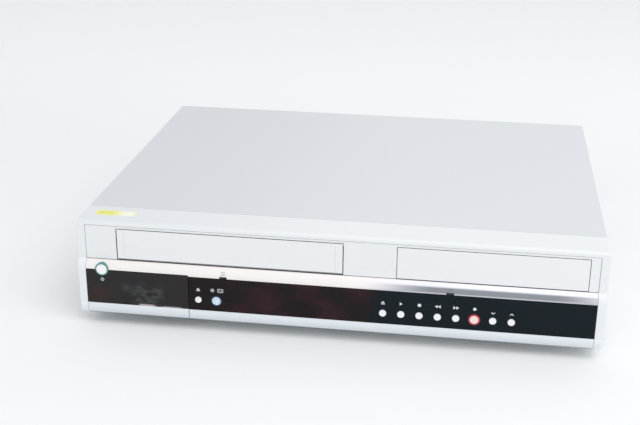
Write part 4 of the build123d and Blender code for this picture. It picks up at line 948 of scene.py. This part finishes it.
@dataclass
class Housing(SubAssembly):
    """The case: cover, bezel, fascia, strips, chassis, feet and rear panel."""

    mark_places_mm: tuple[Point2, ...] = ((-92.9, 53.6), (94.35, 53.6))
    mark_size_mm: float = 2.2
    flange_screws_mm: tuple[Point2, ...] = ((-150.0, 87.4), (0.0, 87.4), (150.0, 87.4))
    panel_screws_mm: tuple[Point2, ...] = (
        (-209.0, 18.0), (209.0, 18.0), (-209.0, 74.0), (209.0, 74.0),
        (30.5, 37.0), (85.5, 37.0), (-196.0, 36.0), (-156.0, 36.0))
    screw_profile: tuple[Point2, ...] = ((2.9, -0.1), (2.9, 0.5), (2.5, 1.0), (1.7, 1.3), (0.5, 1.4))
    recess_mm: float = 1.3
    recess_width_mm: float = 0.5
    label_box_mm: tuple[float, float, float, float] = (-118.0, -58.0, 24.0, 50.0)

    def dress(self) -> None:
        """Give the case its finishes."""
        dress(BEZEL_LACQUER, ("front_bezel",))
        dress(FASCIA_LACQUER, ("upper_fascia",))
        dress(TRIM_LACQUER, ("lower_trim",))
        dress(SILVER_COVER, ("top_cover",))
        dress(BRIGHT_STRIP, ("accent_strip",))
        dress(SMOKED, ("display_panel",))
        dress(LENS, ("indicator_lenses",))
        dress(PLATED_STEEL, ("base_chassis",))
        dress(REAR_STEEL, ("rear_panel",))
        dress(BLACK_MOULDING_AND_RECESS_SHADE, ("feet", "ac_inlet"))
        dress(FOOT_RUBBER, ("foot_pads",))

    def build(self) -> None:
        """Print the marks over the indicator windows, and add the screws with painted shade in their cross
        recesses, and the bare label at the back.
        """
        strip = Face("accent_strip")
        for mark, (x_mm, z_mm) in zip((Mark.CASSETTE, Mark.DISC), self.mark_places_mm):
            outlines = mark_outlines(mark, self.mark_size_mm)
            Printed(f"{mark.value}_window_mark", outlines, x_mm, z_mm, strip, MARK_GREY, "case",
                    "chrome_strip").build()
        panel, cover = Face("rear_panel", Side.BACK), Face("top_cover", Side.BACK)
        seats = [(place, cover) for place in self.flange_screws_mm]
        seats += [(place, panel) for place in self.panel_screws_mm]
        reach, width = self.recess_mm, self.recess_width_mm
        cross = stroke([(-reach, 0.0), (reach, 0.0)], width) + stroke([(0.0, -reach), (0.0, reach)], width)
        for i, (place, face) in enumerate(seats, start=1):
            Turned(f"screw_{i}", self.screw_profile, *place, face, SCREW_STEEL, "bare_steel").build()
            # Painted shade: a black cross on each screw head stands for the shade in its cross recess.
            Printed(f"screw_{i}_recess", cross, *place, face, BLACK_MOULDING_AND_RECESS_SHADE, "case", "bare_steel",
                    lift_mm=self.screw_profile[-1][1]).build()
        left, right, low, high = self.label_box_mm
        label = [(left, low), (right, low), (right, high), (left, high)]
        Printed("rating_label", [label], 0.0, 0.0, panel, LABEL_FOIL, "case", "bare_steel").build()


@dataclass
class ControlBand(SubAssembly):
    """The buttons, their rings and the marks printed over them."""

    row_z_mm: float = 29.1
    first_x_mm: float = 40.3
    pitch_mm: float = 14.87
    mark_rise_mm: float = 9.3
    arrow_rise_mm: float = 6.8
    mark_size_mm: float = 2.9
    pair_half_mm: float = 3.4
    eject_x_mm: float = -114.3
    selector_x_mm: float = -98.8
    power_x_mm: float = -196.8
    power_mark_z_mm: float = 41.6
    row_marks: tuple[Mark, ...] = (Mark.OPEN, Mark.PLAY, Mark.STOP, Mark.REWIND, Mark.FORWARD, Mark.RECORD,
                                   Mark.DOWN, Mark.UP)

    def dress(self) -> None:
        """Give the buttons and rings their finishes."""
        dress(WHITE_CAP, ("open_button", "play_button", "stop_button", "rewind_button", "forward_button",
                          "channel_down_button", "channel_up_button", "eject_button", "power_button"))
        dress(ROSE_CAP, ("record_button",))
        dress(BLUE_CAP, ("selector_button",))
        dress(TEAL_RING, ("power_ring",))
        dress(BLUE_RING, ("selector_ring",))
        dress(RED_RING, ("record_ring",))

    def build(self) -> None:
        """Print the marks."""
        band, flap = Face("display_panel"), Face("flap_panel")
        for i, mark in enumerate(self.row_marks):
            x_mm = self.first_x_mm + i * self.pitch_mm
            rise = self.arrow_rise_mm if mark in (Mark.DOWN, Mark.UP) else self.mark_rise_mm
            self.print_mark(mark, f"{mark.value}_mark", x_mm, self.row_z_mm + rise, band)
        rise_z = self.row_z_mm + self.mark_rise_mm
        self.print_mark(Mark.OPEN, "eject_mark", self.eject_x_mm, rise_z, band)
        self.print_mark(Mark.DISC, "disc_mark", self.selector_x_mm - self.pair_half_mm, rise_z, band)
        self.print_mark(Mark.CASSETTE, "cassette_mark", self.selector_x_mm + self.pair_half_mm, rise_z, band)
        self.print_mark(Mark.POWER, "power_mark", self.power_x_mm, self.power_mark_z_mm, flap, "flap")

    def print_mark(self, mark: Mark, name: str, x_mm: float, z_mm: float, face: Face,
                   body: str = "case") -> None:
        """Print one mark on the band.

        Args:
            mark: Which mark.
            name: The piece's name.
            x_mm: Its place across the front.
            z_mm: Its height.
            face: The face it lies on.
            body: The body that carries it.
        """
        outlines = mark_outlines(mark, self.mark_size_mm)
        Printed(name, outlines, x_mm, z_mm, face, PRINT_WHITE, body, "white_caps").build()


@dataclass
class FrontSockets(SubAssembly):
    """The flap and the sockets behind it."""

    def dress(self) -> None:
        """Give the flap and the socket bay their finishes."""
        dress(FLAP_SMOKED, ("flap_panel",))
        dress(TRIM_LACQUER, ("flap_trim",))
        dress(BLACK_MOULDING_AND_RECESS_SHADE, ("jack_bay",))


@dataclass
class DiscDrive(SubAssembly):
    """The disc tray and what moves it and reads the disc."""

    def dress(self) -> None:
        """Give the drive its finishes."""
        dress(DOOR_LACQUER, ("tray_fascia",))
        dress(DARK_TRAY, ("disc_tray",))
        dress(BLACK_MOULDING_AND_RECESS_SHADE, ("drive_frame", "clamp_puck", "optical_sled"))
        dress(PLATED_STEEL, ("mech_frame", "clamp_bridge"))
        dress(GREY_MOULDING, ("turntable",))
        dress(WHITE_MOULDING, ("loading_gear",))


@dataclass
class VideoDeck(SubAssembly):
    """The cassette door, the holder and the tape mechanism."""

    pin_mm: float = 2.4
    foot_line_mm: float = 0.4
    groove_inset_mm: float = 8.4
    groove_width_mm: float = 0.3
    groove_margin_mm: float = 1.6

    def dress(self) -> None:
        """Give the deck its finishes."""
        dress(DOOR_LACQUER, ("cassette_door",))
        dress(PLATED_STEEL, ("deck_chassis", "deck_brackets", "cassette_carriage", "cassette_holder"))
        dress(BLACK_MOULDING_AND_RECESS_SHADE, ("supply_reel", "takeup_reel"))
        dress(TURNED_METAL, ("drum_base", "head_drum", "capstan"))
        dress(WHITE_MOULDING, ("pinch_arm",))

    def build(self) -> None:
        """Paint the shade at the foot of the cassette door and in the two upright grooves near its ends."""
        low, high = (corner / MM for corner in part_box("cassette_door"))
        middle = (low + high) / 2
        door = Face("cassette_door")
        half = (high.z - low.z) / 2 - self.groove_margin_mm
        upright = stroke([(0.0, -half), (0.0, half)], self.groove_width_mm)
        # painted shade in the two upright grooves
        for side, x_mm in (("left", low.x + self.groove_inset_mm), ("right", high.x - self.groove_inset_mm)):
            Printed(f"{side}_door_line", upright, x_mm, middle.z, door, GROOVE_SHADE, "cassette_door",
                    "silver_gloss").build()
        # painted shadow in the gap at the door's foot
        reach = (high.x - low.x) / 2 - self.pin_mm - self.foot_line_mm
        foot = stroke([(-reach, 0.0), (reach, 0.0)], self.foot_line_mm)
        Printed("door_foot_line", foot, middle.x, low.z + self.foot_line_mm, door, FOOT_SHADE,
                "cassette_door", "silver_gloss").build()


@dataclass
class Electronics(SubAssembly):
    """Boards, display and the sockets at the back."""

    first_socket_mm: Point2 = (44.0, 30.0)
    socket_pitch_mm: float = 14.0
    socket_radius_mm: float = 4.15
    socket_rows: int = 2
    collar_radius_mm: float = 5.8
    collar_height_mm: float = 1.2
    collar_gap_mm: float = 0.05
    collar_edge_mm: float = 0.3
    probe_gap_mm: float = 0.5

    def dress(self) -> None:
        """Give the boards and sockets their finishes."""
        dress(BOARD, ("front_board", "power_switch", "main_board", "power_board"))
        dress(DISPLAY_GLASS, ("display_tube",))
        dress(LINE_SOCKETS, ("line_sockets",))
        dress(TUNER_CAN, ("tuner",))

    def build(self) -> None:
        """Put a coloured collar round the foot of each socket at the back."""
        outer, height, edge = self.collar_radius_mm, self.collar_height_mm, self.collar_edge_mm
        inner = self.socket_radius_mm + self.collar_gap_mm
        rim = ((outer, height - edge), (outer - edge, height), (inner, height))
        profile = ((outer, 0.0), *rim, (inner, 0.0))
        block = Face("line_sockets", Side.BACK)
        for column, finish in enumerate(COLLARS):
            for row in range(self.socket_rows):
                x_mm = self.first_socket_mm[0] + column * self.socket_pitch_mm
                z_mm = self.first_socket_mm[1] + row * self.socket_pitch_mm
                Turned(f"collar_{column + 1}_{row + 1}", profile, x_mm, z_mm, block, finish, "black_plastic",
                       probe_mm=outer + self.probe_gap_mm, hollow=True).build()


# ---------------------------------------------------------------- view
@dataclass(frozen=True)
class Lamp:
    """A soft square lamp that points at the machine."""

    name: str
    place_m: Triple
    power: float
    side_m: float = 1.6
    aim_m: Triple = (0.0, 0.0, 0.05)

    def hang(self) -> None:
        """Put the lamp into the scene."""
        light = bpy.data.lights.new(self.name, "AREA")
        light.size = self.side_m
        light.energy = self.power
        lamp = bpy.data.objects.new(self.name, light)
        lamp.location = self.place_m
        lamp.rotation_euler = (Vector(self.aim_m) - Vector(self.place_m)).to_track_quat("-Z", "Y").to_euler()
        bpy.context.scene.collection.objects.link(lamp)


@dataclass
class Studio:
    """The floor, the soft light and the camera at the photograph's angle."""

    floor_colour: Colour = field(default_factory=lambda: srgb(247, 249, 250))
    far_colour: Colour = field(default_factory=lambda: srgb(255, 255, 255))
    far_y_mm: Point2 = (700.0, 9000.0)
    far_soft_mm: float = 500.0
    reach_m: float = 6.0
    sky: Colour = (0.98, 0.99, 1.0)
    backdrop_strength: float = 0.97
    fill_strength: float = 0.76
    lamps: tuple[Lamp, ...] = (Lamp("key", (0.9, -0.9, 1.8), 17.0), Lamp("fill", (0.1, -1.9, 0.8), 1.0))
    sensor_mm: float = 36.0
    focal_mm: float = 64.0
    camera_mm: Triple = (108.5, -1009.9, 447.8)
    yaw: float = 0.1436
    pitch: float = -0.3768
    roll: float = -0.0085

    def floor(self) -> None:
        """Lay a pale floor far past the view, paler still at the back."""
        mesh = bmesh.new()
        ways = ((-1, -1), (1, -1), (1, 1), (-1, 1))
        mesh.faces.new([mesh.verts.new((x * self.reach_m, y * self.reach_m, 0.0)) for x, y in ways])
        data = bpy.data.meshes.new("floor")
        mesh.to_mesh(data)
        mesh.free()
        piece = bpy.data.objects.new("floor", data)
        bpy.context.scene.collection.objects.link(piece)
        far = Zone(self.far_colour, y_mm=self.far_y_mm, soft_mm=(0.2, self.far_soft_mm, 0.2))
        finish = Zoned("floor_paper", self.floor_colour, roughness=0.7, mottle=0.004, mottle_mm=60.0,
                       grain_mm=2.0, grain_depth_mm=0.005, specular=0.2, zones=(far,))
        data.materials.append(finish.material())

    def world(self) -> None:
        """Light the scene evenly and show a pale background."""
        world = bpy.data.worlds.new("studio")
        bpy.context.scene.world = world
        world.use_nodes = True
        nodes = Nodes(world.node_tree)
        rays = nodes.add("ShaderNodeLightPath").outputs
        seen = nodes.maths("MAXIMUM", rays["Is Camera Ray"], rays["Is Glossy Ray"])
        seen = nodes.maths("MAXIMUM", seen, rays["Is Transmission Ray"])
        background = nodes.find("BACKGROUND").inputs
        nodes.feed(background["Strength"], nodes.spread(seen, (self.fill_strength, self.backdrop_strength)))
        nodes.feed(background["Color"], self.sky)

    def camera(self) -> None:
        """Set the camera at the photograph's viewing angle."""
        turn = (Matrix.Rotation(self.yaw, 3, "Z") @ Matrix.Rotation(self.pitch, 3, "X")
                @ Matrix.Rotation(self.roll, 3, "Y"))
        right, ahead, up = turn.col
        data = bpy.data.cameras.new("camera")
        data.sensor_fit = "HORIZONTAL"
        data.sensor_width = self.sensor_mm
        data.lens = self.focal_mm
        camera = bpy.data.objects.new("camera", data)
        rotation = Matrix((right, up, -ahead)).transposed()
        camera.matrix_world = Matrix.Translation(Vector(self.camera_mm) * MM) @ rotation.to_4x4()
        bpy.context.scene.collection.objects.link(camera)
        bpy.context.scene.camera = camera

    def build(self) -> None:
        """Set up the whole studio."""
        self.floor()
        self.world()
        for lamp in self.lamps:
            lamp.hang()
        self.camera()
        bpy.context.scene.view_settings.view_transform = "Standard"


def main() -> None:
    """Build every sub-assembly and the studio, in order."""
    logging.basicConfig(level=logging.INFO)
    for assembly in (Housing(), ControlBand(), FrontSockets(), DiscDrive(), VideoDeck(), Electronics()):
        assembly.dress()
        assembly.build()
    Studio().build()


if __name__ == "__main__":
    main()
